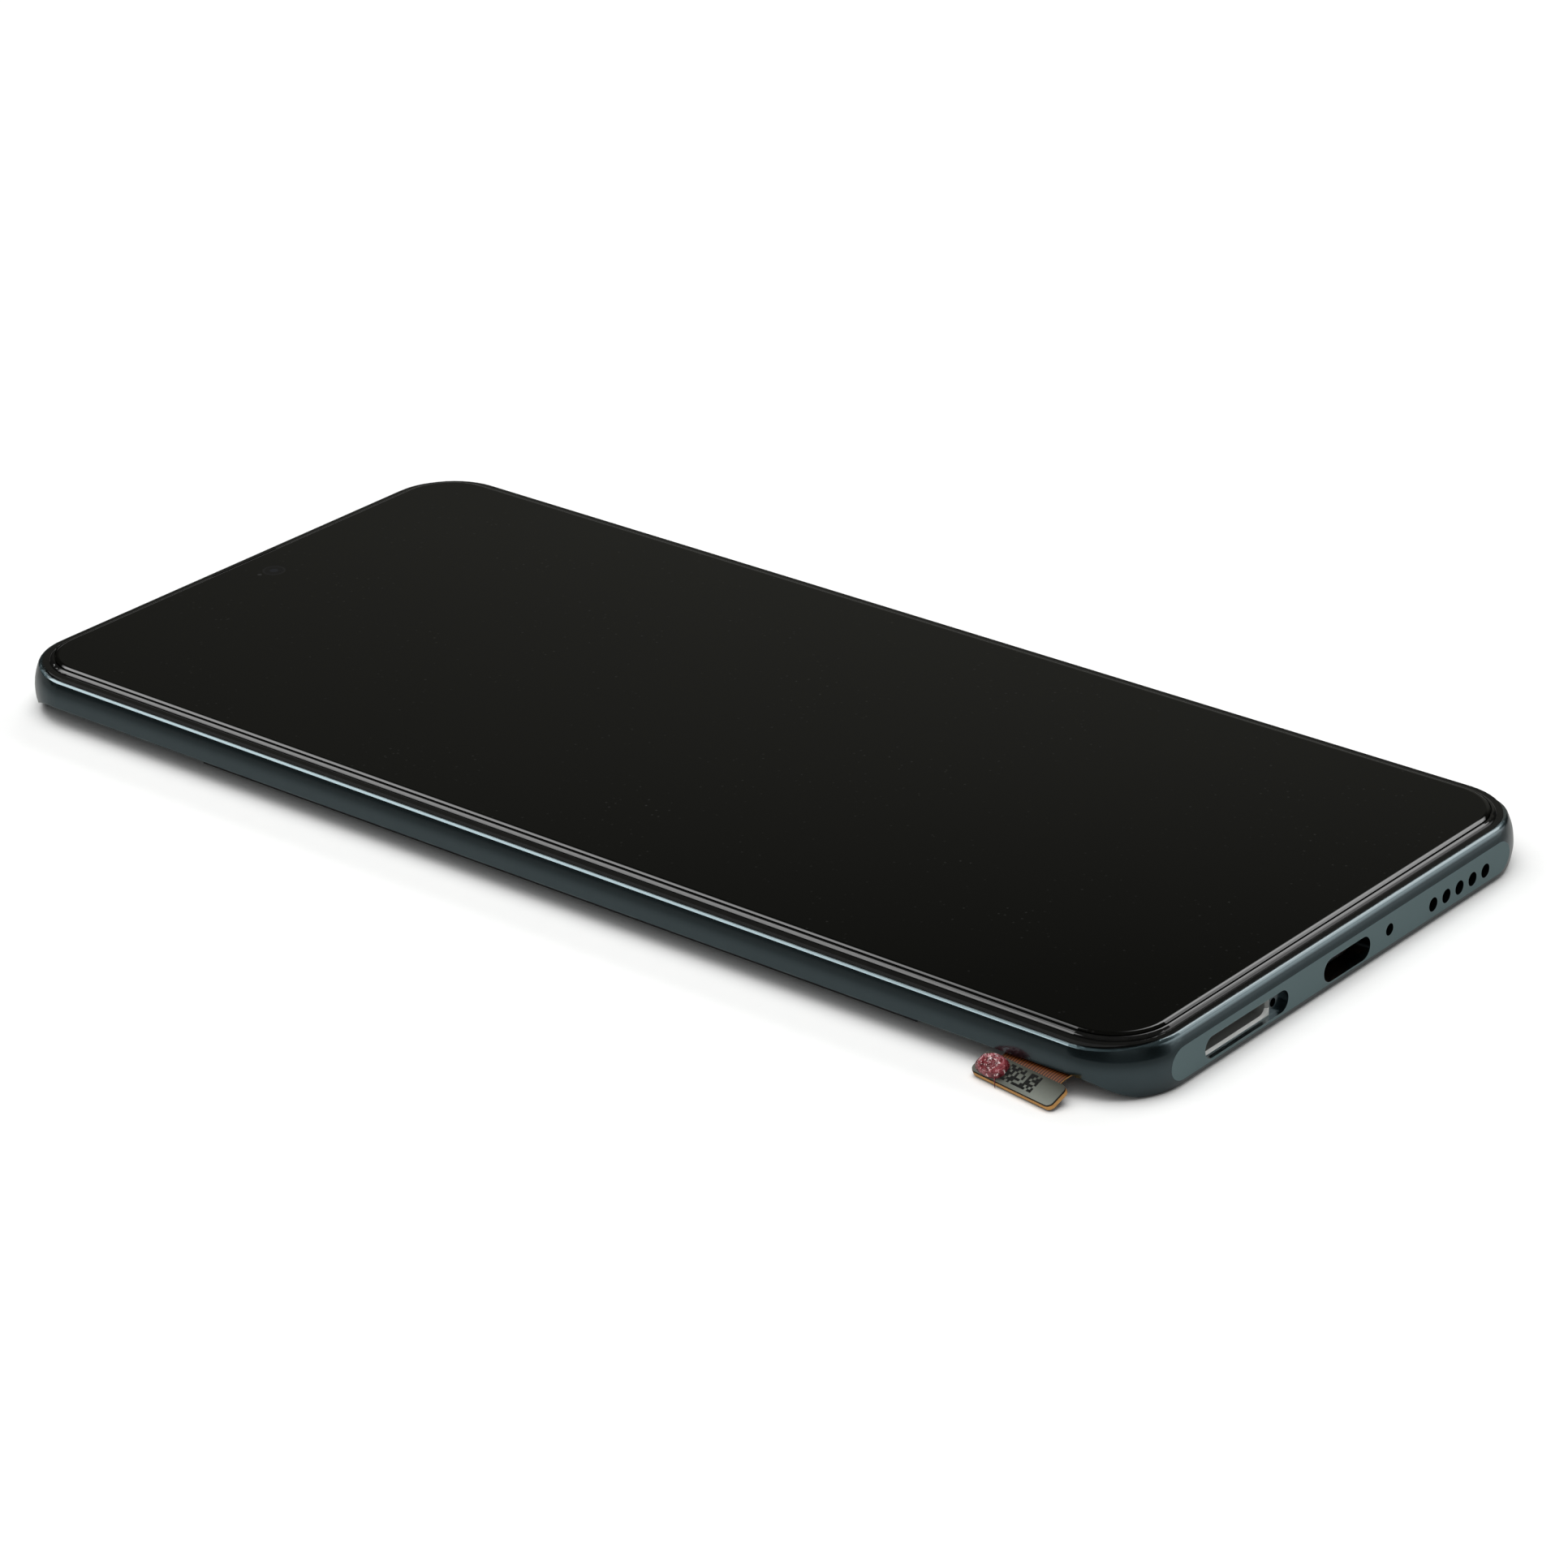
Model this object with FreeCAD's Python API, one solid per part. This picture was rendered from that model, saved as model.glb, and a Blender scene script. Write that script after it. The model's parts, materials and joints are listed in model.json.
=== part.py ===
import FreeCAD, Part
import math
import os

# Screen assembly of a phone: cover glass, display stack, middle frame and the display ribbon.
# Millimetres. X runs along the phone towards the end with the ports, Y across it, Z up with the
# screen on top. The frame's rear edge lies on Z = 0 and the origin is the centre of its outline.

V = FreeCAD.Vector
OUT = "parts"
os.makedirs(OUT, exist_ok=True)

# Metal side frame: outline, bulged section and the band that is narrower along the long sides.
FRAME_HALF_X = 82.3
FRAME_HALF_Y = 38.2
FRAME_CORNER = 8.8
FRAME_TOP = 6.0
BULGE_Z = 2.8
BULGE_R = 6.8
SHOULDER_R = 0.7
HEEL = 0.35
FACET_DEPTH = 0.25
FACET_X = FRAME_HALF_X - FACET_DEPTH
SIDE_BAND_LOW = 2.45
SIDE_BAND_HIGH = FRAME_TOP - 0.4
SIDE_BAND_LIFT = 0.45
SIDE_ROUNDING_SHIFT = 0.07

# Where the band widens round a corner, measured along the diagonal from the corner's middle.
BLEND_FROM = -5.68
BLEND_EASE = (3.0, 4.5)
BLEND_TO = 4.22

# Inside of the frame: wall, seat of the bezel and flange that carries the display.
WALL_THICK = 2.9
WALL_X = FRAME_HALF_X - WALL_THICK
WALL_Y = FRAME_HALF_Y - WALL_THICK
WALL_CORNER = FRAME_CORNER - 2.8
SEAT_RIM_END = 1.3
SEAT_RIM_SIDE = 0.9
SEAT_X = FRAME_HALF_X - SEAT_RIM_END
SEAT_Y = FRAME_HALF_Y - SEAT_RIM_SIDE
SEAT_CORNER = FRAME_CORNER - 0.95
FLANGE_X = WALL_X - 1.0
FLANGE_Y = WALL_Y - 0.7
FLANGE_CORNER = WALL_CORNER - 0.8
FLANGE_THICK = 0.6
CORNER_SMALL = 1.0
FIT_GAP = 0.02

# Relief in the lower edge of the near side, where the ribbon leaves the frame.
RELIEF_LEFT = 5.75
RELIEF_RIGHT = 1.25
RELIEF_TOP = SIDE_BAND_LOW + 0.07

# Openings in the port end, seen along X: y centre, z centre, width, height.
PORT_Z = 2.5
USB_WIDTH = 8.7
USB_PORT = (0.0, PORT_Z, USB_WIDTH, 2.75)
SIM_WIDTH = 14.9
SIM_CLEAR = 6.5
SIM_Y = -(USB_WIDTH / 2 + SIM_CLEAR + SIM_WIDTH / 2)
SIM_RECESS = (SIM_Y, PORT_Z, SIM_WIDTH, 2.55)
SIM_SLOT = (SIM_Y - 1.2, PORT_Z, 11.4, 1.8)
SIM_RECESS_DEPTH = 0.7
SIM_SLOT_CHAMFER = 0.25
EJECT_HOLE_Y = SIM_Y + 5.55
EJECT_HOLE_R = 0.5
SPEAKER_Z = PORT_Z - 0.1
SPEAKER_PITCH = 2.57
SPEAKER_COUNT = 5
SPEAKER_R = 0.82
SPEAKER_CORNER_CLEAR = 2.59
SPEAKER_Y = WALL_Y - WALL_CORNER - SPEAKER_CORNER_CLEAR - (SPEAKER_COUNT - 1) * SPEAKER_PITCH
MIC_CLEAR = 3.65
MIC_Y = USB_WIDTH / 2 + MIC_CLEAR
MIC_Z = PORT_Z + 0.3
MIC_R = 0.7
MESH_THICK = 0.1
MESH_BORDER = 0.25

# Battery bay behind the plate, and the screw posts near the ends.
BAY_END_CLEAR = 28.4
BAY_HALF_X = WALL_X - BAY_END_CLEAR
BAY_WALL = 1.2
BAY_HALF_Y = WALL_Y - 1.3
BAY_LOW = 0.3
POST_HALF = 1.3
POST_LOW = 1.0
POST_CLEAR = 2.9
POST_ROW_BOTTOM = 19.5
POST_ROW_TOP = 18.5
POST_HALF_Y = WALL_Y - 3.3
SCREW_HOLE_R = 0.6
SCREW_HOLE_DEPTH = 2.4

# Key slots in the far long side: x centre and length.
KEY_SLOTS = ((44.5 - BAY_HALF_X, 11.4), (22.0 - BAY_HALF_X, 21.0))
KEY_Z = 3.1
KEY_HEIGHT = 1.8
KEY_RELIEF_BELOW = 1.3
KEY_RELIEF_ABOVE = 0.9

# Cover glass with its rounded rim, standing inside the plastic bezel's raised crest.
GLASS_X = SEAT_X - 1.35
GLASS_Y = SEAT_Y - 1.55
GLASS_CORNER = SEAT_CORNER - 1.45
GLASS_LOW = FRAME_TOP + 0.03
GLASS_TOP = GLASS_LOW + 0.57
RIM_WIDTH = 0.5
RIM_DROP = 0.15

# Backlight tray: the display stack is laid out from its outline.
TRAY_X = GLASS_X - 0.7
TRAY_Y = GLASS_Y - 0.45
TRAY_WALL = 0.1
STACK_CORNER = GLASS_CORNER - 1.0
CELL_CUT = STACK_CORNER - 1.2
FILM_CUT = STACK_CORNER - 1.6
TRAY_CUT = STACK_CORNER - 1.1
STACK_X0 = 0.35 - TRAY_X
ARRAY_X1 = TRAY_X - 0.05
FILTER_X1 = ARRAY_X1 - 2.0
CELL_Y = TRAY_Y - 0.2
FILM_X0 = STACK_X0 + 0.4
FILM_X1 = FILTER_X1 - 0.4
FILM_Y = CELL_Y - 0.25
LAYER_INSET = 0.1
MOULD_INNER_X0 = FILM_X0 - 0.1
MOULD_INNER_X1 = FILM_X1 + 0.95
MOULD_INNER_Y = FILM_Y + 0.05

# Black print on the rear of the glass, with the window of the display in it.
INK = 0.03
WINDOW_X0 = STACK_X0 + 0.6
WINDOW_X1 = FILTER_X1 - 0.7
WINDOW_Y = CELL_Y - 0.45
WINDOW_CORNER = STACK_CORNER + 0.4
CAMERA_X = STACK_X0 + 3.7
CAMERA_R = 1.45
CAMERA_RING = 0.3
STACK_HOLE_R = CAMERA_R + 0.65


# Low and high Z of a layer of the given thickness under the height z_top.
def below(z_top, thickness):
    return z_top - thickness, z_top


# Display stack, from the glass down to the plate that lies level with the flange's underside.
Z_ADHESIVE = below(GLASS_LOW - INK, 0.1)
Z_FRONT_POL = below(Z_ADHESIVE[0], 0.1)
Z_FILTER = below(Z_FRONT_POL[0], 0.2)
Z_ARRAY = below(Z_FILTER[0], 0.2)
Z_REAR_POL = below(Z_ARRAY[0], 0.1)
Z_PRISM_UP = below(Z_REAR_POL[0], 0.05)
Z_PRISM_LOW = below(Z_PRISM_UP[0], 0.05)
Z_DIFFUSER = below(Z_PRISM_LOW[0], 0.05)
Z_GUIDE = below(Z_DIFFUSER[0], 0.35)
Z_REFLECTOR = below(Z_GUIDE[0], 0.05)
Z_TRAY = below(Z_REFLECTOR[0], 0.1)
Z_CUSHION = below(Z_TRAY[0], 0.15)
Z_PLATE = below(Z_CUSHION[0], 0.5)
TRAY_WALL_TOP = Z_PRISM_UP[0]
FLANGE_LOW = Z_PLATE[0]
FLANGE_TOP = FLANGE_LOW + FLANGE_THICK

# Light strip along the port end of the backlight.
LED_SIZE = (0.8, 3.0, 0.4)
LED_COUNT = 12
LED_END_CLEAR = 4.85
LED_PITCH = 2 * (FILM_Y - LED_END_CLEAR) / LED_COUNT
LED_X = FILM_X1 + 0.08
LED_STRIP_THICK = 0.08

# Driver chip on the ledge of the lower cell glass.
CHIP_X0 = FILTER_X1 + 0.2
CHIP_WIDTH = 0.8
CHIP_THICK = 0.2

# Plastic bezel between glass and metal, and the tape that holds the glass on it.
BEZEL_INNER_X = TRAY_X + 0.15
BEZEL_INNER_Y = TRAY_Y + 0.15
BEZEL_INNER_CORNER = STACK_CORNER + 0.1
BEZEL_SEAT_Z = Z_ADHESIVE[0]
BEZEL_LIP_Z = GLASS_LOW + 0.02
GLASS_GAP = 0.15
CREST_WIDTH = 0.52
CREST_RISE = 0.33
CREST_DROP = 0.26
BEZEL_NOTCH_MARGIN = 0.6
TAPE_OUTER_INSET = 0.03
TAPE_INNER_INSET = 0.02
EARPIECE_HALF_Y = 5.5
EARPIECE_WIDTH = 0.4
EARPIECE_THICK = 0.12
EARPIECE_OVERLAP = 0.3

# Display ribbon: fold round the panel end and sheet on the plate's rear.
FLEX_THICK = 0.12
FLEX_HALF_Y = 15.0
CHIP_HALF_Y = FLEX_HALF_Y - 3.0
FLEX_BOND_X = CHIP_X0 + CHIP_WIDTH + 0.15
FLEX_DROP_X = TRAY_X + 0.4
FLEX_BEND_UP = 0.35
FLEX_BEND_LOW = 0.25
FLEX_SHEET_LENGTH = 17.85
FLEX_SHEET_X = FLEX_DROP_X - FLEX_SHEET_LENGTH
SLOT_X0 = TRAY_X
SLOT_X1 = FLEX_DROP_X + 0.25
SLOT_HALF_Y = FLEX_HALF_Y + 0.6

# Arm of the ribbon: flat under the plate, down and out under the frame, then the leaning tail.
ARM_ROOT_X = FLEX_DROP_X - 5.8
ARM_ROOT_Y = -9.6
ARM_TURN = -7.5
ARM_WIDTH = 8.3
ARM_FALL = 6.0
ARM_UNDER_Z = RELIEF_TOP - 0.31
ARM_UNDER = 3.5
ARM_SLOPE = 25.0
ARM_EASE = 0.745
TAIL_STANDOFF = 0.64
ARM_REACH = (FRAME_HALF_Y + TAIL_STANDOFF + ARM_ROOT_Y) / math.cos(math.radians(ARM_TURN))
ARM_FLAT = ARM_REACH - ARM_FALL - ARM_UNDER - 2 * ARM_EASE
TAIL_LENGTH = 11.4
TAIL_WIDTH = 3.05
TAIL_CORNER = 0.7
TAIL_SHIFT = -0.3
TONGUE_THICK = 0.5
STIFFENER_THICK = 0.2
STIFFENER_INSET = 0.05
PLUG_SIZE = (TAIL_LENGTH - 1.2, TAIL_WIDTH - 0.95, 0.4)
PLUG_GROOVE = (PLUG_SIZE[0] - 1.6, PLUG_SIZE[1] - 1.3, PLUG_SIZE[2] - 0.12)

# Drop of lacquer on the stiffener: radius of its foot, height, distance from the tail's middle.
DROP_FOOT_R = 1.85
DROP_HEIGHT = 1.2
DROP_SIDES = 16
DROP_LEVELS = 5
DROP_AT = 1.75 - TAIL_LENGTH / 2

# Small parts soldered on the ribbon's sheet: x from the sheet's edge, y, length, width, height.
FLEX_PARTS = ((4.5, 9.0, 3.2, 3.2, 0.35), (4.5, 3.6, 1.0, 0.5, 0.3), (4.5, 2.2, 1.0, 0.5, 0.3),
              (4.5, 0.8, 1.0, 0.5, 0.3), (9.0, 9.5, 1.6, 0.8, 0.3), (9.0, 7.5, 1.6, 0.8, 0.3))

# Foam frame and graphite sheet between plate and backlight: insets from the flange's inner line.
CUSHION_OUTER = (0.6, 0.3)
CUSHION_INNER = (8.4, 1.8)
GRAPHITE_INSET = (8.9, 2.3)
CUSHION_CUT = 1.5

# Openings cut in the plate: distance from the wall of the nearer end, y, length, width.
WINDOWS_TOP = ((14.4, 17.0, 14.0, 9.0), (13.4, -16.0, 9.0, 12.0), (8.9, 2.0, 3.0, 9.0))
WINDOWS_BOTTOM = ((24.4, 20.0, 3.0, 12.0), (24.4, -20.0, 3.0, 12.0))


def save(shape, node):
    shape.exportStep(os.path.join(OUT, node + ".step"))


def box(x0, x1, y0, y1, z0, z1):
    return Part.makeBox(x1 - x0, y1 - y0, z1 - z0, V(x0, y0, z0))


def rod(x, y, radius, z0, z1):
    return Part.makeCylinder(radius, z1 - z0, V(x, y, z0))


# Closed outline of a rectangle with round corners, centred on x_mid in the plane at height z.
def outline(half_x, half_y, radius, z, x_mid=0.0):
    k = radius * (1.0 - math.sqrt(0.5))
    hx, hy, r = half_x, half_y, radius
    at = lambda x, y: V(x_mid + x, y, z)
    edges = [Part.makeLine(at(hx, 0), at(hx, hy - r)),
             Part.Arc(at(hx, hy - r), at(hx - k, hy - k), at(hx - r, hy)).toShape(),
             Part.makeLine(at(hx - r, hy), at(r - hx, hy)),
             Part.Arc(at(r - hx, hy), at(k - hx, hy - k), at(-hx, hy - r)).toShape(),
             Part.makeLine(at(-hx, hy - r), at(-hx, r - hy)),
             Part.Arc(at(-hx, r - hy), at(k - hx, k - hy), at(r - hx, -hy)).toShape(),
             Part.makeLine(at(r - hx, -hy), at(hx - r, -hy)),
             Part.Arc(at(hx - r, -hy), at(hx - k, k - hy), at(hx, r - hy)).toShape(),
             Part.makeLine(at(hx, r - hy), at(hx, 0))]
    return Part.Wire(edges)


def plate(half_x, half_y, radius, z0, z1, x_mid=0.0):
    face = Part.Face(outline(half_x, half_y, radius, z0, x_mid))
    return face.extrude(V(0, 0, z1 - z0))


# Layer between two x limits, with round corners.
def layer(x0, x1, half_y, radius, z_pair):
    return plate((x1 - x0) / 2, half_y, radius, z_pair[0], z_pair[1], (x0 + x1) / 2)


# Layer between two x limits, with its corners cut off straight.
def cut_layer(x0, x1, half_y, cut, z_pair):
    points = [V(x, y, z_pair[0]) for x, y in (
        (x0, cut - half_y), (x0 + cut, -half_y), (x1 - cut, -half_y), (x1, cut - half_y),
        (x1, half_y - cut), (x1 - cut, half_y), (x0 + cut, half_y), (x0, half_y - cut))]
    return Part.Face(Part.makePolygon(points + points[:1])).extrude(V(0, 0, z_pair[1] - z_pair[0]))


def ring(outer, inner, z0, z1):
    return plate(*outer, z0, z1).cut(plate(*inner, z0, z1))


# Round-ended opening seen along X, cut from x0 to x1.
def stadium(spec, x0, x1):
    y, z, width, height = spec
    r = height / 2
    half = width / 2 - r
    body = box(x0, x1, y - half, y + half, z - r, z + r)
    for side in (-half, half):
        end = Part.makeCylinder(r, x1 - x0, V(x0, y + side, z), V(1, 0, 0))
        body = body.fuse(end)
    return body.removeSplitter()


# Funnel round a stadium opening: full size at x1, wider by the chamfer at x1 + chamfer.
def stadium_funnel(spec, x1, chamfer):
    y, z, width, height = spec
    wires = []
    for step in (0.0, chamfer):
        wire = outline(width / 2 + step, height / 2 + step, (height / 2 + step) * 0.999, 0.0)
        wire.rotate(V(0, 0, 0), V(1, 0, 0), 90)
        wire.rotate(V(0, 0, 0), V(0, 0, 1), 90)
        wire.translate(V(x1 + step, y, z))
        wires.append(wire)
    return Part.makeLoft(wires, True, True)


# Arc of radius r that runs from the bulged side into the level line at z_level.
def shoulder(r, z_level, sign):
    rise = abs(z_level - BULGE_Z) - r
    reach = math.sqrt((BULGE_R - r) ** 2 - rise ** 2)
    centre = (BULGE_R - reach, BULGE_Z + sign * rise)
    direction = (-reach / (BULGE_R - r), sign * rise / (BULGE_R - r))
    touch = (centre[0] + r * direction[0], centre[1] + r * direction[1])
    middle = (direction[0], direction[1] + sign)
    size = math.hypot(*middle)
    mid = (centre[0] + r * middle[0] / size, centre[1] + r * middle[1] / size)
    return touch, mid, (centre[0], z_level)


# Section of the frame: inset from the widest line and height, closed on the inside.
def frame_section():
    at = lambda p: V(FRAME_HALF_X - p[0], 0, p[1])
    touch_up, mid_up, end_up = shoulder(SHOULDER_R, FRAME_TOP, 1)
    rise = BULGE_Z - HEEL
    touch_low = (BULGE_R - math.sqrt(BULGE_R ** 2 - rise ** 2), HEEL)
    end_low = (touch_low[0] + HEEL, 0.0)
    inner = FRAME_CORNER - CORNER_SMALL
    edges = [Part.makeLine(at(end_low), at(touch_low)),
             Part.Arc(at(touch_low), at((0, BULGE_Z)), at(touch_up)).toShape(),
             Part.Arc(at(touch_up), at(mid_up), at(end_up)).toShape(),
             Part.makeLine(at(end_up), at((inner, FRAME_TOP))),
             Part.makeLine(at((inner, FRAME_TOP)), at((inner, 0))),
             Part.makeLine(at((inner, 0)), at(end_low))]
    return Part.Wire(edges)


# Cutter that narrows the metal band: level along the long side, easing out round each corner.
def band_cutter(z_band, z_end, z_far):
    x0 = FRAME_HALF_X - FRAME_CORNER
    y0 = FRAME_HALF_Y - FRAME_CORNER
    low, high = min(z_band, z_far), max(z_band, z_far)
    side = box(-x0, x0, y0, FRAME_HALF_Y + 1, low, high)
    start = (FRAME_HALF_X - FRAME_HALF_Y) / math.sqrt(2) + BLEND_FROM
    va, vb, vc, vd = start, start + BLEND_EASE[0], start + BLEND_EASE[1], start - BLEND_FROM + BLEND_TO
    at = lambda v, z: V(0, -v, z)
    ease = Part.BezierCurve()
    ease.setPoles([at(va, z_band), at(vb, z_band), at(vc, z_end), at(vd, z_end)])
    edges = [Part.makeLine(at(va - 2, z_band), at(va, z_band)), ease.toShape(),
             Part.makeLine(at(vd, z_end), at(vd, z_far)), Part.makeLine(at(vd, z_far), at(va - 2, z_far)),
             Part.makeLine(at(va - 2, z_far), at(va - 2, z_band))]
    wedge = Part.Face(Part.Wire(edges)).extrude(V(2 * FRAME_HALF_X, 0, 0))
    wedge.rotate(V(0, 0, 0), V(0, 0, 1), 45)
    corner = wedge.common(box(x0, FRAME_HALF_X + 1, y0, FRAME_HALF_Y + 1, -2, FRAME_TOP + 2))
    half = side.fuse([corner, corner.mirror(V(0, 0, 0), V(1, 0, 0))])
    return half.fuse(half.mirror(V(0, 0, 0), V(0, 1, 0)))


# Point of the near right corner's outline at an angle from the long side, on the rising upper edge.
def rising_corner(angle, sign):
    share = angle / 90.0
    z = SIDE_BAND_HIGH + SIDE_BAND_LIFT * share * share * (3 - 2 * share)
    turn = math.radians(angle)
    x = FRAME_HALF_X - FRAME_CORNER + FRAME_CORNER * math.sin(turn)
    y = FRAME_HALF_Y - FRAME_CORNER + FRAME_CORNER * math.cos(turn)
    return V(sign * x, -y, z)


def corner_curve(angles, sign, start_along, end_along):
    curve = Part.BSplineCurve()
    curve.interpolate(Points=[rising_corner(angle, sign) for angle in angles],
                      InitialTangent=start_along, FinalTangent=end_along)
    return curve.toShape()


# Cutter above the near long side: lowers the band and rounds its outer edge, rising round both corners.
def side_top_cutter():
    angles = [90.0 - 15.0 * i for i in range(7)]
    left = corner_curve(angles, -1, V(0, -1, 0), V(1, 0, 0))
    right = corner_curve(angles[::-1], 1, V(1, 0, 0), V(0, 1, 0))
    straight = Part.makeLine(rising_corner(0, -1), rising_corner(0, 1))
    touch, mid, end = shoulder(SHOULDER_R, SIDE_BAND_HIGH, 1)
    start = rising_corner(90.0, -1)
    lift = start.z - SIDE_BAND_HIGH
    at = lambda inset, z: V(start.x + inset - SIDE_ROUNDING_SHIFT, start.y, z + lift)
    low = (end[0] - SHOULDER_R, end[1] - SHOULDER_R)
    far = (FRAME_CORNER / 3, FRAME_TOP + 1)
    edges = [Part.Arc(at(*low), at(*mid), at(*end)).toShape(), Part.makeLine(at(*end), at(far[0], end[1])),
             Part.makeLine(at(far[0], end[1]), at(*far)), Part.makeLine(at(*far), at(-1, far[1])),
             Part.makeLine(at(-1, far[1]), at(-1, low[1])), Part.makeLine(at(-1, low[1]), at(*low))]
    sweep = Part.BRepOffsetAPI.MakePipeShell(Part.Wire([left, straight, right]))
    sweep.setBiNormalMode(V(0, 0, 1))
    sweep.add(Part.Wire(edges))
    sweep.build()
    sweep.makeSolid()
    return sweep.shape()


def port_cutters():
    x0, x1 = WALL_X - 2 * CORNER_SMALL, FRAME_HALF_X + CORNER_SMALL
    tools = [stadium(USB_PORT, x0, x1), stadium(SIM_SLOT, x0, x1)]
    tools.append(stadium(SIM_RECESS, FACET_X - SIM_RECESS_DEPTH, x1))
    tools.append(stadium_funnel(SIM_SLOT, FACET_X - SIM_RECESS_DEPTH - SIM_SLOT_CHAMFER, SIM_SLOT_CHAMFER))
    along = V(1, 0, 0)
    tools.append(Part.makeCylinder(EJECT_HOLE_R, x1 - x0, V(x0, EJECT_HOLE_Y, SIM_RECESS[1]), along))
    tools.append(Part.makeCylinder(MIC_R, x1 - x0, V(x0, MIC_Y, MIC_Z), along))
    for i in range(SPEAKER_COUNT):
        y = SPEAKER_Y + i * SPEAKER_PITCH
        tools.append(Part.makeCylinder(SPEAKER_R, x1 - x0, V(x0, y, SPEAKER_Z), along))
    return tools


def key_cutters():
    tools = []
    for x, length in KEY_SLOTS:
        tool = stadium((x, KEY_Z, length, KEY_HEIGHT), -FRAME_HALF_Y - CORNER_SMALL, -BAY_HALF_Y)
        tools.append(tool.rotate(V(0, 0, 0), V(0, 0, 1), -90).mirror(V(0, 0, 0), V(1, 0, 0)))
    return tools


def flex_slot():
    return box(SLOT_X0, SLOT_X1, -SLOT_HALF_Y, SLOT_HALF_Y, FLANGE_LOW - 2 * FLEX_THICK, FLANGE_TOP)


def side_frame():
    path = outline(FRAME_HALF_X, FRAME_HALF_Y, FRAME_CORNER, 0)
    body = path.makePipeShell([frame_section()], True, False)
    body = body.cut(plate(SEAT_X, SEAT_Y, SEAT_CORNER, FLANGE_TOP, FRAME_TOP + 1))
    body = body.cut(plate(FLANGE_X, FLANGE_Y, FLANGE_CORNER, -1, FRAME_TOP))
    body = body.cut(plate(WALL_X, WALL_Y, WALL_CORNER, -1, FLANGE_LOW))
    body = body.cut(box(FACET_X, FRAME_HALF_X + 1, -FRAME_HALF_Y, FRAME_HALF_Y, -1, FRAME_TOP + 1))
    body = body.cut(band_cutter(SIDE_BAND_LOW, 0.0, -1.0))
    top_cutter = side_top_cutter()
    body = body.cut([top_cutter, top_cutter.mirror(V(0, 0, 0), V(0, 1, 0))])
    relief = box(ARM_ROOT_X - RELIEF_LEFT, ARM_ROOT_X + RELIEF_RIGHT, -FRAME_HALF_Y - 1, -WALL_Y + 1, -1, RELIEF_TOP)
    return body.cut(port_cutters() + key_cutters() + [flex_slot(), relief])


# Cutter that rounds an upper edge all round: an arc that starts level and falls by drop over width.
def rim_cutter(half_x, half_y, corner, z_top, width, drop):
    at = lambda inset, z: V(half_x - inset, 0, z)
    radius = (width ** 2 + drop ** 2) / (2 * drop)
    half_turn = math.asin(width / radius) / 2
    middle = (width - radius * math.sin(half_turn), z_top - radius * (1 - math.cos(half_turn)))
    edges = [Part.Arc(at(width, z_top), at(*middle), at(0, z_top - drop)).toShape(),
             Part.makeLine(at(0, z_top - drop), at(-drop, z_top - drop)),
             Part.makeLine(at(-drop, z_top - drop), at(-drop, z_top + drop)),
             Part.makeLine(at(-drop, z_top + drop), at(width, z_top + drop)),
             Part.makeLine(at(width, z_top + drop), at(width, z_top))]
    return outline(half_x, half_y, corner, 0).makePipeShell([Part.Wire(edges)], True, False)


def cover_glass():
    body = plate(GLASS_X, GLASS_Y, GLASS_CORNER, GLASS_LOW, GLASS_TOP)
    return body.cut(rim_cutter(GLASS_X, GLASS_Y, GLASS_CORNER, GLASS_TOP, RIM_WIDTH, RIM_DROP))


def border_ink():
    z0 = GLASS_LOW - INK
    band = plate(GLASS_X - INK, GLASS_Y - INK, GLASS_CORNER - INK, z0, GLASS_LOW)
    band = band.cut(layer(WINDOW_X0, WINDOW_X1, WINDOW_Y, WINDOW_CORNER, (z0, GLASS_LOW)))
    dot = rod(CAMERA_X, 0, CAMERA_R + CAMERA_RING, z0, GLASS_LOW).cut(rod(CAMERA_X, 0, CAMERA_R, z0, GLASS_LOW))
    return Part.makeCompound([band, dot])


# Layer a little smaller all round than the glass with the colour filter.
def inset_layer(z_pair):
    return cut_layer(STACK_X0 + LAYER_INSET, FILTER_X1 - LAYER_INSET, CELL_Y - LAYER_INSET, CELL_CUT, z_pair)


def optical_adhesive():
    base = inset_layer(Z_ADHESIVE)
    raised = layer(WINDOW_X0, WINDOW_X1, WINDOW_Y, WINDOW_CORNER, (Z_ADHESIVE[1], GLASS_LOW))
    hole = rod(CAMERA_X, 0, CAMERA_R + CAMERA_RING, Z_ADHESIVE[0], GLASS_LOW)
    return base.fuse(raised).cut(hole)


def holed_film(z_pair):
    film = cut_layer(FILM_X0, FILM_X1, FILM_Y, FILM_CUT, z_pair)
    return film.cut(rod(CAMERA_X, 0, STACK_HOLE_R, *z_pair))


def front_polarizer():
    film = inset_layer(Z_FRONT_POL)
    return film.cut(rod(CAMERA_X, 0, CAMERA_R + CAMERA_RING, *Z_FRONT_POL))


def light_guide():
    body = cut_layer(FILM_X0, LED_X - FIT_GAP, FILM_Y, FILM_CUT, Z_GUIDE)
    return body.cut(rod(CAMERA_X, 0, STACK_HOLE_R, *Z_GUIDE))


def backlight_tray():
    body = cut_layer(-TRAY_X, TRAY_X, TRAY_Y, TRAY_CUT, (Z_TRAY[0], TRAY_WALL_TOP))
    return body.cut([tray_inside(TRAY_WALL_TOP), rod(CAMERA_X, 0, STACK_HOLE_R, Z_TRAY[0], Z_TRAY[1])])


def tray_inside(z_top):
    half_x = TRAY_X - TRAY_WALL
    return cut_layer(-half_x, half_x, TRAY_Y - TRAY_WALL, TRAY_CUT, (Z_TRAY[1], z_top))


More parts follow.
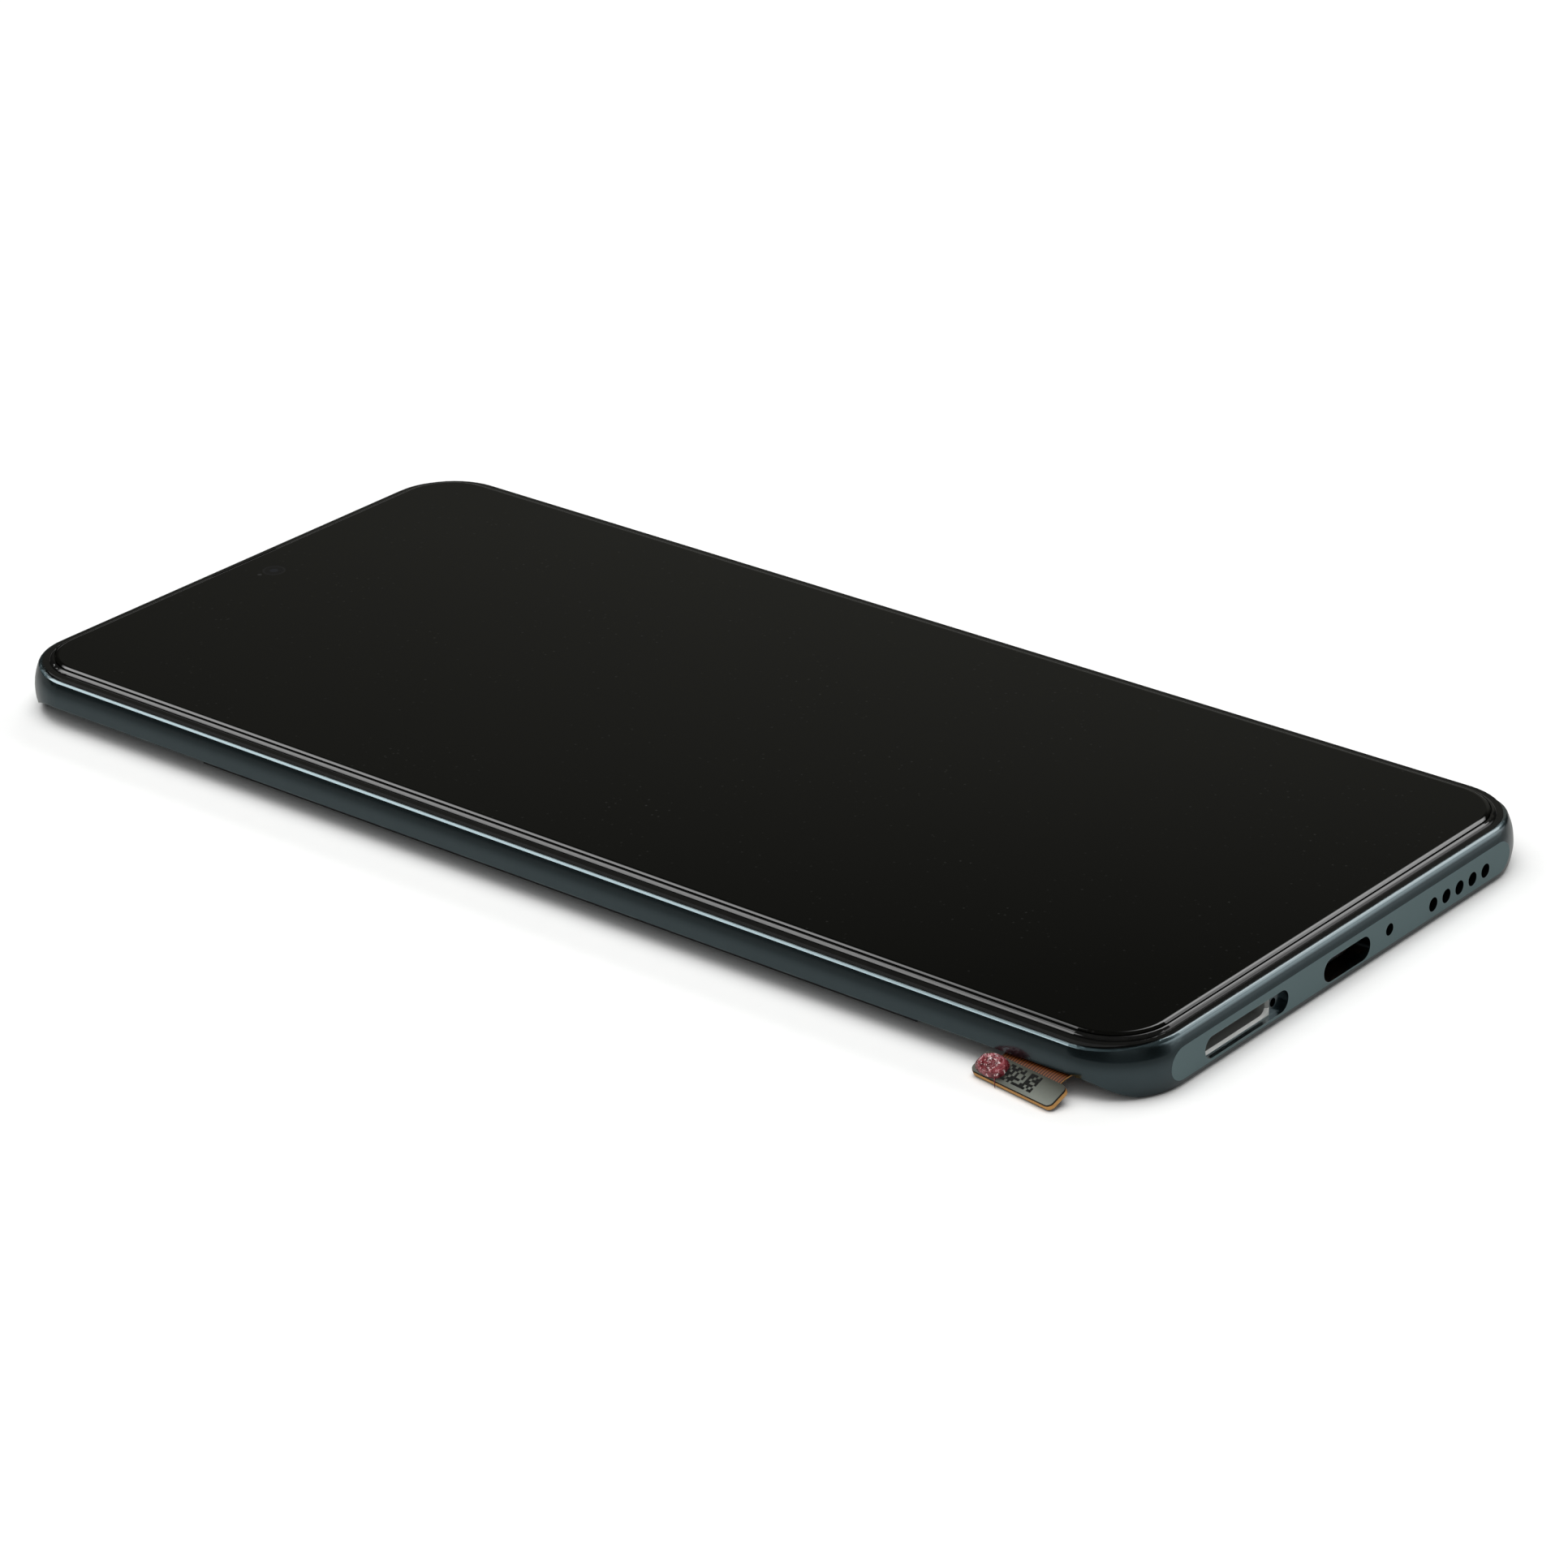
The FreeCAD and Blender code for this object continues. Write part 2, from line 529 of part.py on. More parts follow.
def panel_moulding():
    opening = cut_layer(MOULD_INNER_X0, MOULD_INNER_X1, MOULD_INNER_Y, FILM_CUT, (Z_TRAY[1], Z_PRISM_UP[1]))
    return tray_inside(Z_PRISM_UP[1]).cut(opening)


def led_row():
    dx, dy, dz = LED_SIZE
    first = -LED_PITCH * (LED_COUNT - 1) / 2
    leds = [box(LED_X, LED_X + dx, first + i * LED_PITCH - dy / 2, first + i * LED_PITCH + dy / 2,
                Z_GUIDE[0], Z_GUIDE[0] + dz) for i in range(LED_COUNT)]
    return Part.makeCompound(leds)


def led_strip():
    z0 = Z_GUIDE[0] + LED_SIZE[2]
    half = LED_PITCH * LED_COUNT / 2
    return box(FILM_X1 + FIT_GAP, MOULD_INNER_X1 - FIT_GAP, -half, half, z0, z0 + LED_STRIP_THICK)


def driver_chip():
    return box(CHIP_X0, CHIP_X0 + CHIP_WIDTH, -CHIP_HALF_Y, CHIP_HALF_Y, Z_ARRAY[1], Z_ARRAY[1] + CHIP_THICK)


# Raised crest of the bezel beside the glass, rounded down towards its outside.
def bezel_crest(inner):
    outer = tuple(size + CREST_WIDTH for size in inner)
    z_top = BEZEL_LIP_Z + CREST_RISE
    return ring(outer, inner, BEZEL_SEAT_Z, z_top).cut(rim_cutter(*outer, z_top, CREST_WIDTH, CREST_DROP))


def bezel_ring():
    outer = (SEAT_X - FIT_GAP, SEAT_Y - FIT_GAP, SEAT_CORNER - FIT_GAP)
    base = ring(outer, (BEZEL_INNER_X, BEZEL_INNER_Y, BEZEL_INNER_CORNER), FLANGE_TOP, BEZEL_SEAT_Z)
    lip_inner = (GLASS_X + GLASS_GAP, GLASS_Y + GLASS_GAP, GLASS_CORNER + GLASS_GAP)
    lip = ring(outer, lip_inner, BEZEL_SEAT_Z, BEZEL_LIP_Z)
    body = base.fuse([lip, bezel_crest(lip_inner)]).removeSplitter()
    notch = box(BEZEL_INNER_X - 1, SLOT_X1 + BEZEL_NOTCH_MARGIN, -SLOT_HALF_Y, SLOT_HALF_Y, FLANGE_TOP, BEZEL_SEAT_Z)
    return body.cut([notch, earpiece_slot(FLANGE_TOP, BEZEL_LIP_Z + CREST_RISE)])


def earpiece_slot(z0, z1):
    x1 = -(GLASS_X + GLASS_GAP)
    return box(x1 - EARPIECE_WIDTH, x1 + EARPIECE_OVERLAP, -EARPIECE_HALF_Y, EARPIECE_HALF_Y, z0, z1)


def earpiece_mesh():
    z1 = BEZEL_SEAT_Z
    return earpiece_slot(z1 - EARPIECE_THICK, z1)


def perimeter_tape():
    outer = (GLASS_X - TAPE_OUTER_INSET, GLASS_Y - TAPE_OUTER_INSET, GLASS_CORNER - TAPE_OUTER_INSET)
    inner = (BEZEL_INNER_X + TAPE_INNER_INSET, BEZEL_INNER_Y + TAPE_INNER_INSET, BEZEL_INNER_CORNER + TAPE_INNER_INSET)
    return ring(outer, inner, BEZEL_SEAT_Z, GLASS_LOW - INK)


# Ribbon of constant thickness drawn along a path from a rectangle that stands across it.
def ribbon(path, corner_a, corner_b, corner_c, corner_d):
    section = Part.makePolygon([corner_a, corner_b, corner_c, corner_d, corner_a])
    return path.makePipeShell([section], True, False)


def panel_fold():
    z_bond = Z_ARRAY[1] + FLEX_THICK / 2
    z_sheet = FLANGE_LOW - FLEX_THICK / 2
    x, r, q = FLEX_DROP_X, FLEX_BEND_UP, FLEX_BEND_LOW
    k = 1.0 - math.sqrt(0.5)
    at = lambda px, pz: V(px, 0, pz)
    edges = [Part.makeLine(at(FLEX_BOND_X, z_bond), at(x - r, z_bond)),
             Part.Arc(at(x - r, z_bond), at(x - r * k, z_bond - r * k), at(x, z_bond - r)).toShape(),
             Part.makeLine(at(x, z_bond - r), at(x, z_sheet + q)),
             Part.Arc(at(x, z_sheet + q), at(x - q * k, z_sheet + q * k), at(x - q, z_sheet)).toShape(),
             Part.makeLine(at(x - q, z_sheet), at(FLEX_SHEET_X, z_sheet))]
    t, w = FLEX_THICK / 2, FLEX_HALF_Y
    return ribbon(Part.Wire(edges), V(FLEX_BOND_X, -w, z_bond - t), V(FLEX_BOND_X, w, z_bond - t),
                  V(FLEX_BOND_X, w, z_bond + t), V(FLEX_BOND_X, -w, z_bond + t))


# The arm is drawn along local -Y from its root and then turned to its real direction.
def place_arm(shape):
    shape = shape.copy()
    shape.rotate(V(0, 0, 0), V(0, 0, 1), ARM_TURN)
    shape.translate(V(ARM_ROOT_X, ARM_ROOT_Y, 0))
    return shape


def arm_stations():
    z0 = FLANGE_LOW - FLEX_THICK / 2
    s1 = ARM_FLAT
    s2 = s1 + ARM_FALL
    s3 = s2 + ARM_UNDER
    s4 = s3 + 2 * ARM_EASE
    z4 = ARM_UNDER_Z - ARM_EASE * math.tan(math.radians(ARM_SLOPE))
    return z0, s1, s2, s3, s4, z4


def arm_ribbon():
    z0, s1, s2, s3, s4, z4 = arm_stations()
    at = lambda s, z: V(0, -s, z)
    fall = Part.BezierCurve()
    fall.setPoles([at(s1, z0), at(s1 + ARM_FALL / 2, z0), at(s2 - ARM_FALL / 2, ARM_UNDER_Z), at(s2, ARM_UNDER_Z)])
    ease = Part.BezierCurve()
    ease.setPoles([at(s3, ARM_UNDER_Z), at(s3 + ARM_EASE, ARM_UNDER_Z), at(s4, z4)])
    edges = [Part.makeLine(at(0, z0), at(s1, z0)), fall.toShape(),
             Part.makeLine(at(s2, ARM_UNDER_Z), at(s3, ARM_UNDER_Z)), ease.toShape()]
    t, w = FLEX_THICK / 2, ARM_WIDTH / 2
    return ribbon(Part.Wire(edges), V(-w, 0, z0 - t), V(w, 0, z0 - t), V(w, 0, z0 + t), V(-w, 0, z0 + t))


# Pieces of the tail lie flat on local Z = 0 (middle of the film) and are tilted with the slope.
def place_tail(shape):
    s4, z4 = arm_stations()[4:]
    shape = shape.copy()
    shape.rotate(V(0, 0, 0), V(1, 0, 0), ARM_SLOPE)
    shape.translate(V(TAIL_SHIFT, -s4, z4))
    return place_arm(shape)


def tail_plate(z0, z1, inset):
    body = plate(TAIL_LENGTH / 2 - inset, TAIL_WIDTH / 2 - inset, TAIL_CORNER - inset, z0, z1)
    body.translate(V(0, -TAIL_WIDTH / 2, 0))
    return body


def tail_tongue():
    t = FLEX_THICK / 2
    film = tail_plate(t - TONGUE_THICK, t, 0.0)
    neck = box(-ARM_WIDTH / 2 - TAIL_SHIFT, ARM_WIDTH / 2 - TAIL_SHIFT, -TAIL_WIDTH / 2, FIT_GAP, -t, t)
    return place_tail(film.fuse(neck).removeSplitter())


def display_flex():
    fold = panel_fold()
    return fold.fuse([place_arm(arm_ribbon()), tail_tongue()])


def stiffener_plate():
    t = FLEX_THICK / 2
    return place_tail(tail_plate(t, t + STIFFENER_THICK, STIFFENER_INSET))


def board_connector():
    dx, dy, dz = PLUG_SIZE
    gx, gy, gz = PLUG_GROOVE
    top = FLEX_THICK / 2 - TONGUE_THICK
    y = -TAIL_WIDTH / 2
    body = box(-dx / 2, dx / 2, y - dy / 2, y + dy / 2, top - dz, top)
    groove = box(-gx / 2, gx / 2, y - gy / 2, y + gy / 2, top - dz, top - dz + gz)
    return place_tail(body.cut(groove))


# Low dome of flat facets: rings of a ball's cap, from the foot up to a small level top.
def lacquer_drop():
    radius = (DROP_FOOT_R ** 2 + DROP_HEIGHT ** 2) / (2 * DROP_HEIGHT)
    z_mid = FLEX_THICK / 2 + STIFFENER_THICK + DROP_HEIGHT - radius
    foot_angle = math.acos((radius - DROP_HEIGHT) / radius)
    rings = []
    for level in range(DROP_LEVELS):
        angle = foot_angle * (1 - level / DROP_LEVELS)
        r, z = radius * math.sin(angle), z_mid + radius * math.cos(angle)
        turns = [2 * math.pi * i / DROP_SIDES for i in range(DROP_SIDES)] + [0.0]
        rings.append(Part.makePolygon([V(DROP_AT + r * math.cos(t), r * math.sin(t) - TAIL_WIDTH / 2, z) for t in turns]))
    return place_tail(Part.makeLoft(rings, True, True))


def flex_parts():
    top = FLANGE_LOW - FLEX_THICK
    parts = [box(FLEX_SHEET_X + x - dx / 2, FLEX_SHEET_X + x + dx / 2, y - dy / 2, y + dy / 2, top - dz, top)
             for x, y, dx, dy, dz in FLEX_PARTS]
    return Part.makeCompound(parts)


def mid_plate():
    body = plate(FLANGE_X, FLANGE_Y, FLANGE_CORNER, *Z_PLATE)
    places = [(inset - WALL_X, y, dx, dy) for inset, y, dx, dy in WINDOWS_TOP]
    places += [(WALL_X - inset, y, dx, dy) for inset, y, dx, dy in WINDOWS_BOTTOM]
    tools = [box(x - dx / 2, x + dx / 2, y - dy / 2, y + dy / 2, FLANGE_LOW, FLANGE_TOP)
             for x, y, dx, dy in places]
    tools.append(rod(CAMERA_X, 0, CAMERA_R + CAMERA_RING, FLANGE_LOW - 1, FLANGE_TOP))
    return body.cut(tools)


def camera_gasket():
    z0, z1 = Z_PLATE[1], Z_ARRAY[0]
    outer = STACK_HOLE_R - FIT_GAP
    return rod(CAMERA_X, 0, outer, z0, z1).cut(rod(CAMERA_X, 0, CAMERA_R, z0, z1))


def cushion_frame():
    x_out, y_out = FLANGE_X - CUSHION_OUTER[0], FLANGE_Y - CUSHION_OUTER[1]
    x_in, y_in = FLANGE_X - CUSHION_INNER[0], FLANGE_Y - CUSHION_INNER[1]
    body = cut_layer(-x_out, x_out, y_out, FLANGE_CORNER, Z_CUSHION)
    return body.cut([cut_layer(-x_in, x_in, y_in, CUSHION_CUT, Z_CUSHION),
                     rod(CAMERA_X, 0, STACK_HOLE_R, *Z_CUSHION)])


def graphite_sheet():
    half_x, half_y = FLANGE_X - GRAPHITE_INSET[0], FLANGE_Y - GRAPHITE_INSET[1]
    return cut_layer(-half_x, half_x, half_y, CUSHION_CUT, Z_CUSHION)


def battery_frame():
    x, y, w = BAY_HALF_X, BAY_HALF_Y, BAY_WALL
    body = box(-x - w, x + w, -WALL_Y, WALL_Y, BAY_LOW, FLANGE_LOW)
    body = body.cut(box(-x, x, -y, y, BAY_LOW, FLANGE_LOW))
    z0, z1 = KEY_Z - KEY_RELIEF_BELOW, KEY_Z + KEY_RELIEF_ABOVE
    reliefs = [box(cx - length / 2, cx + length / 2, y - 1, WALL_Y + 1, z0, z1) for cx, length in KEY_SLOTS]
    return body.cut(reliefs)


def screw_posts():
    near = WALL_X - POST_CLEAR
    rows = (near, near - POST_ROW_BOTTOM, -near, POST_ROW_TOP - near)
    places = [(x, side * POST_HALF_Y) for x in rows for side in (-1, 1)]
    hole_top = POST_LOW + SCREW_HOLE_DEPTH
    half = POST_HALF
    posts = [box(x - half, x + half, y - half, y + half, POST_LOW, FLANGE_LOW).cut(
        rod(x, y, SCREW_HOLE_R, POST_LOW, hole_top)) for x, y in places]
    return Part.makeCompound(posts)


def speaker_mesh():
    y0 = SPEAKER_Y - SPEAKER_R - MESH_BORDER
    y1 = SPEAKER_Y + (SPEAKER_COUNT - 1) * SPEAKER_PITCH + SPEAKER_R + MESH_BORDER
    half = SPEAKER_R + MESH_BORDER / 2
    return box(WALL_X - MESH_THICK, WALL_X, y0, y1, SPEAKER_Z - half, SPEAKER_Z + half)


def mic_mesh():
    return Part.makeCylinder(MIC_R + MESH_BORDER / 2, MESH_THICK, V(WALL_X - MESH_THICK, MIC_Y, MIC_Z), V(1, 0, 0))


save(side_frame(), "side_frame")
save(mid_plate(), "mid_plate")
save(battery_frame(), "battery_frame")
save(screw_posts(), "screw_posts")
save(bezel_ring(), "bezel_ring")
save(perimeter_tape(), "perimeter_tape")
save(cover_glass(), "cover_glass")
save(border_ink(), "border_ink")
save(optical_adhesive(), "optical_adhesive")
save(front_polarizer(), "front_polarizer")
save(cut_layer(STACK_X0, FILTER_X1, CELL_Y, CELL_CUT, Z_FILTER), "colour_filter_glass")
save(cut_layer(STACK_X0, ARRAY_X1, CELL_Y, CELL_CUT, Z_ARRAY), "array_glass")
save(holed_film(Z_REAR_POL), "rear_polarizer")
save(holed_film(Z_PRISM_UP), "prism_film_upper")
save(holed_film(Z_PRISM_LOW), "prism_film_lower")
save(holed_film(Z_DIFFUSER), "diffuser_film")
save(light_guide(), "light_guide")
save(holed_film(Z_REFLECTOR), "reflector_film")
save(backlight_tray(), "backlight_tray")
save(panel_moulding(), "panel_moulding")
save(led_row(), "led_row")
save(led_strip(), "led_strip")
save(driver_chip(), "driver_chip")
save(cushion_frame(), "cushion_frame")
save(graphite_sheet(), "graphite_sheet")
save(camera_gasket(), "camera_gasket")
save(display_flex(), "display_flex")
save(flex_parts(), "flex_parts")
save(stiffener_plate(), "stiffener_plate")
save(board_connector(), "board_connector")
save(lacquer_drop(), "lacquer_drop")
save(speaker_mesh(), "speaker_mesh")
save(mic_mesh(), "mic_mesh")
save(earpiece_mesh(), "earpiece_mesh")
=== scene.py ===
# %% [markdown]
# # A phone's screen assembly, dressed for its portrait
# The real thing is a slab 164 mm long: a black cover glass in a plastic bezel, both seated in a painted
# metal frame, with the display ribbon's tail poking out beside it. The solids come ready made from the
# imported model, so this notebook only gives them their finishes and adds what is too fine or too soft for
# solids: the skin of a drop of lacquer, the hair that it left, a printed code and the contacts of the
# plug.

# %% Load the solids
import json
import math

import bmesh
import bpy
from mathutils import Matrix, Vector, noise


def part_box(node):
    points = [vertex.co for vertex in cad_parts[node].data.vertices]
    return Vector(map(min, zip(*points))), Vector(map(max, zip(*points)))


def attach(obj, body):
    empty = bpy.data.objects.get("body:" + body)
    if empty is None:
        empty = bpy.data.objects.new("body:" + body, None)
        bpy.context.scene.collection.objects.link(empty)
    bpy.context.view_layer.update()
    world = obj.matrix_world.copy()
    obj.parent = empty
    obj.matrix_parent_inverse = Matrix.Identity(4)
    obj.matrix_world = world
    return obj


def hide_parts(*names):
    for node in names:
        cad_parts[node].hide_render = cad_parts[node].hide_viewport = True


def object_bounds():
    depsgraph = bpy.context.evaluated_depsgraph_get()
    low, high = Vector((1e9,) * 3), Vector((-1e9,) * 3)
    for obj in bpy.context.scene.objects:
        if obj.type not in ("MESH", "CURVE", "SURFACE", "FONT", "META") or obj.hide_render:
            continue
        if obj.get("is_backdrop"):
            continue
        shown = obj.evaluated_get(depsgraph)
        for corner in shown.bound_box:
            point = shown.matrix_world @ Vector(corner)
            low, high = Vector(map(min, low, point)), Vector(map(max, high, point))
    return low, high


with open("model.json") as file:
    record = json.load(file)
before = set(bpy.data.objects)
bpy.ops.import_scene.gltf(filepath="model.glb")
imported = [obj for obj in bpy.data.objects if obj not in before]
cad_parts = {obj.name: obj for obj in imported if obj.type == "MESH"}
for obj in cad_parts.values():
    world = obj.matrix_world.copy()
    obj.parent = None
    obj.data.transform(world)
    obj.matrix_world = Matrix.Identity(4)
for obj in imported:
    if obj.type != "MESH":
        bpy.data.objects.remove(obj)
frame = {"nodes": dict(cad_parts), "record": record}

MM = 0.001
nodes = frame["nodes"]
cad_low, cad_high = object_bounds()
print("solids:", len(nodes), "nodes, size in mm:", [round(v / MM, 2) for v in cad_high - cad_low])

# %% [markdown]
# ## The camera
# A long lens about 0.6 m away looks down at 25 degrees over the corner beside the ports. A tracking
# constraint could aim it, but the position was solved from the edges of glass and frame in the photograph
# and has a small roll. So the camera is given by where it aims, its azimuth, its elevation and its roll,
# and its rotation is built from three axes.

# %% Camera
TARGET = Vector((3.6719, 2.0731, -0.4)) * MM
AZIMUTH, ELEVATION, ROLL = (math.radians(a) for a in (39.8793, 25.3418, -1.1083))
DISTANCE = 606.914 * MM
FOCAL = 122.118

level_reach = math.cos(ELEVATION)
back = Vector((math.sin(AZIMUTH) * level_reach, -math.cos(AZIMUTH) * level_reach, math.sin(ELEVATION)))
right = Vector((math.cos(AZIMUTH), math.sin(AZIMUTH), 0))
up = back.cross(right)
axis_x = right * math.cos(ROLL) + up * math.sin(ROLL)
axis_y = up * math.cos(ROLL) - right * math.sin(ROLL)
turned = Matrix((axis_x, axis_y, back)).transposed().to_4x4()
camera = bpy.data.objects.new("camera", bpy.data.cameras.new("camera"))
bpy.context.scene.collection.objects.link(camera)
camera.data.lens = FOCAL
camera.matrix_world = Matrix.Translation(TARGET + back * DISTANCE) @ turned
bpy.context.scene.camera = camera
bpy.context.scene.view_settings.view_transform = "Standard"
print("camera at mm", [round(v / MM, 1) for v in camera.matrix_world.translation])

# %% [markdown]
# ## Small builders
# Every finish below is a tree of shader nodes. Trees can be wired by hand in the editor or written out
# node by node, but then the few numbers that matter drown. These helpers keep them in sight: one adds a
# node and fills its sockets, the next ones wrap the nodes used most, and the last ones start a group or a
# material.

# %% Builders for single nodes
def add(tree, kind, links=(), **values):
    node = tree.nodes.new(kind)
    for name, value in values.items():
        setattr(node, name, value)
    for socket, source in dict(links).items():
        if hasattr(source, "is_output"):
            tree.links.new(source, node.inputs[socket])
        else:
            node.inputs[socket].default_value = source
    return node


def compute(tree, operation, *inputs, clamp=False):
    links = dict(enumerate(inputs))
    return add(tree, "ShaderNodeMath", links, operation=operation, use_clamp=clamp).outputs[0]


def compute_vector(tree, operation, *inputs):
    return add(tree, "ShaderNodeVectorMath", dict(enumerate(inputs)), operation=operation).outputs[0]


def measure(tree, operation, *inputs):
    return add(tree, "ShaderNodeVectorMath", dict(enumerate(inputs)), operation=operation).outputs["Value"]


def remap(tree, value, start, end, low=0.0, high=1.0, **values):
    links = {"Value": value, "From Min": start, "From Max": end, "To Min": low, "To Max": high}
    return add(tree, "ShaderNodeMapRange", links, **values).outputs[0]


def mix_color(tree, mask, low, high):
    low, high = ((*tone, 1) if isinstance(tone, tuple) else tone for tone in (low, high))
    return add(tree, "ShaderNodeMix", {"Factor": mask, 6: low, 7: high}, data_type="RGBA").outputs[2]


def object_place(tree):
    return add(tree, "ShaderNodeTexCoord").outputs["Object"]


def surface_normal(tree):
    return add(tree, "ShaderNodeNewGeometry").outputs["Normal"]


def along_axes(tree, vector):
    return add(tree, "ShaderNodeSeparateXYZ", {0: vector}).outputs


print("node builders ready")


# %% Builders for groups and materials
def effect(name, inputs, outputs):
    group = bpy.data.node_groups.new(name, "ShaderNodeTree")
    for label, default in inputs.items():
        kind = "NodeSocketVector" if isinstance(default, tuple) else "NodeSocketFloat"
        group.interface.new_socket(label, in_out="INPUT", socket_type=kind).default_value = default
    for label in outputs:
        group.interface.new_socket(label, in_out="OUTPUT", socket_type="NodeSocketFloat")
    entry = group.nodes.new("NodeGroupInput").outputs
    leave = group.nodes.new("NodeGroupOutput").inputs
    return group, entry, leave


def place_effect(tree, group, **values):
    node = tree.nodes.new("ShaderNodeGroup")
    node.node_tree = group
    for socket, value in values.items():
        node.inputs[socket].default_value = value
    return node.outputs


def finish_of(name, shader):
    mat = bpy.data.materials.new(name)
    mat.use_nodes = True
    bsdf = mat.node_tree.nodes["Principled BSDF"]
    for socket, value in shader.items():
        bsdf.inputs[socket].default_value = value
    return mat, mat.node_tree, bsdf


def blend_color(tree, mask, low, high, bsdf):
    tone = mix_color(tree, mask, low, high)
    tree.links.new(tone, bsdf.inputs["Base Color"])
    return tone


def spread(tree, mask, low, high, socket):
    tree.links.new(remap(tree, mask, 0.0, 1.0, low, high), socket)


def emboss(tree, height, strength, distance, bsdf):
    bump = add(tree, "ShaderNodeBump", {"Height": height, "Strength": strength, "Distance": distance})
    tree.links.new(bump.outputs[0], bsdf.inputs["Normal"])


def show(name, mesh, finish):
    piece = bpy.data.objects.new(name, mesh)
    bpy.context.scene.collection.objects.link(piece)
    mesh.materials.clear()
    mesh.materials.append(finish)
    print(name, "faces:", len(mesh.polygons))
    return piece


print("group and material builders ready")

# %% [markdown]
# ## Effects that several finishes share
# Paint, film, glass and steel carry the same kinds of traces: a cloudy variation, dust on what faces up,
# and rubbed edges. They could be painted on or wired anew in each material. Here each trace is one group
# that puts out masks or heights, built once and placed in a material with that material's own scale and
# amount.

# %% Cloudy variation
CONTRAST_GAIN = 4.0
mottle, into, out = effect("mottle", {"Scale": 200.0, "Contrast": 0.5, "Stretch": (1.0, 1.0, 1.0)},
                           ["Mask", "Height"])
place = compute_vector(mottle, "MULTIPLY", object_place(mottle), into["Stretch"])
cloud = add(mottle, "ShaderNodeTexNoise", {"Vector": place, "Scale": into["Scale"], "Detail": 4.0,
                                           "Roughness": 0.6}).outputs[0]
away = compute(mottle, "SUBTRACT", cloud, 0.5)
gain = compute(mottle, "MULTIPLY", into["Contrast"], CONTRAST_GAIN)
mask = compute(mottle, "MULTIPLY_ADD", away, gain, 0.5, clamp=True)
mottle.links.new(mask, out["Mask"])
mottle.links.new(cloud, out["Height"])
print("mottle nodes:", len(mottle.nodes))

# %% Dust that settles on faces that look up
SPECK_SIZE = 0.16
VEIL_SCALE = 120.0
VEIL_START, VEIL_FULL = 0.45, 0.75
STEEP, LEVEL = 0.3, 0.95
dust, into, out = effect("settled_dust", {"Scale": 3000.0, "Amount": 0.05}, ["Mask"])
place = object_place(dust)
specks = add(dust, "ShaderNodeTexVoronoi", {"Vector": place, "Scale": into["Scale"], "Randomness": 1.0})
speck = remap(dust, specks.outputs["Distance"], 0.0, SPECK_SIZE, 1.0, 0.0)
veil = add(dust, "ShaderNodeTexNoise", {"Vector": place, "Scale": VEIL_SCALE, "Detail": 5.0}).outputs[0]
patchy = remap(dust, veil, VEIL_START, VEIL_FULL)
level = remap(dust, along_axes(dust, surface_normal(dust))["Z"], STEEP, LEVEL)
lying = compute(dust, "MULTIPLY", compute(dust, "MULTIPLY", speck, patchy), level)
dust.links.new(compute(dust, "MULTIPLY", lying, into["Amount"]), out["Mask"])
print("settled_dust nodes:", len(dust.nodes))

# %% Rubbed edges
EDGE_START, EDGE_FULL = 0.995, 0.85
RUB_START, RUB_FULL = 0.42, 0.6
rub, into, out = effect("rubbed_edge", {"Width": 0.00015, "Scale": 900.0}, ["Mask"])
rounded = add(rub, "ShaderNodeBevel", {"Radius": into["Width"]}, samples=6).outputs[0]
edge = remap(rub, measure(rub, "DOT_PRODUCT", rounded, surface_normal(rub)), EDGE_START, EDGE_FULL)
broken = add(rub, "ShaderNodeTexNoise", {"Vector": object_place(rub), "Scale": into["Scale"],
                                         "Detail": 5.0}).outputs[0]
rub.links.new(compute(rub, "MULTIPLY", edge, remap(rub, broken, RUB_START, RUB_FULL)), out["Mask"])
print("shared effects:", [g.name for g in bpy.data.node_groups])

# %% [markdown]
# ## The floor
# The part lies on white paper. A plain white plane would do for the camera, but the glossy sides would
# mirror it as a broad white band, which the photograph doesn't show. So for mirrored rays the paper
# darkens with its distance from the part's outline, while the camera and the soft light see it white all
# over.

# %% Floor
FLOOR_HALF = 12.0
PAPER_LOW, PAPER_HIGH = (0.93, 0.935, 0.93), (0.95, 0.952, 0.945)
MIRRORED_PAPER = (0.16, 0.16, 0.156)
DARKENS_FROM, DARKENS_TO = 6 * MM, 30 * MM
LEAST_DARKENING = 0.8
paper, tree, bsdf = finish_of("white_paper", {"Roughness": 0.9, "Specular IOR Level": 0.1})
fibres = place_effect(tree, mottle, Scale=400.0, Contrast=0.3)
white = mix_color(tree, fibres["Mask"], PAPER_LOW, PAPER_HIGH)
outline_half = Vector(((cad_high.x - cad_low.x) / 2, cad_high.y, 0))
over = compute_vector(tree, "ABSOLUTE", object_place(tree))
over = compute_vector(tree, "SUBTRACT", over, outline_half)
over = compute_vector(tree, "MAXIMUM", over, (0, 0, 0))
table = remap(tree, measure(tree, "LENGTH", over), DARKENS_FROM, DARKENS_TO, LEAST_DARKENING)
mirrored = add(tree, "ShaderNodeLightPath").outputs["Is Glossy Ray"]
blend_color(tree, compute(tree, "MULTIPLY", table, mirrored), white, MIRRORED_PAPER, bsdf)
plane = bpy.data.meshes.new("floor")
corners = [(x * FLOOR_HALF, y * FLOOR_HALF, 0) for x, y in ((-1, -1), (1, -1), (1, 1), (-1, 1))]
plane.from_pydata(corners, [], [(0, 1, 2, 3)])
floor = show("floor", plane, paper)
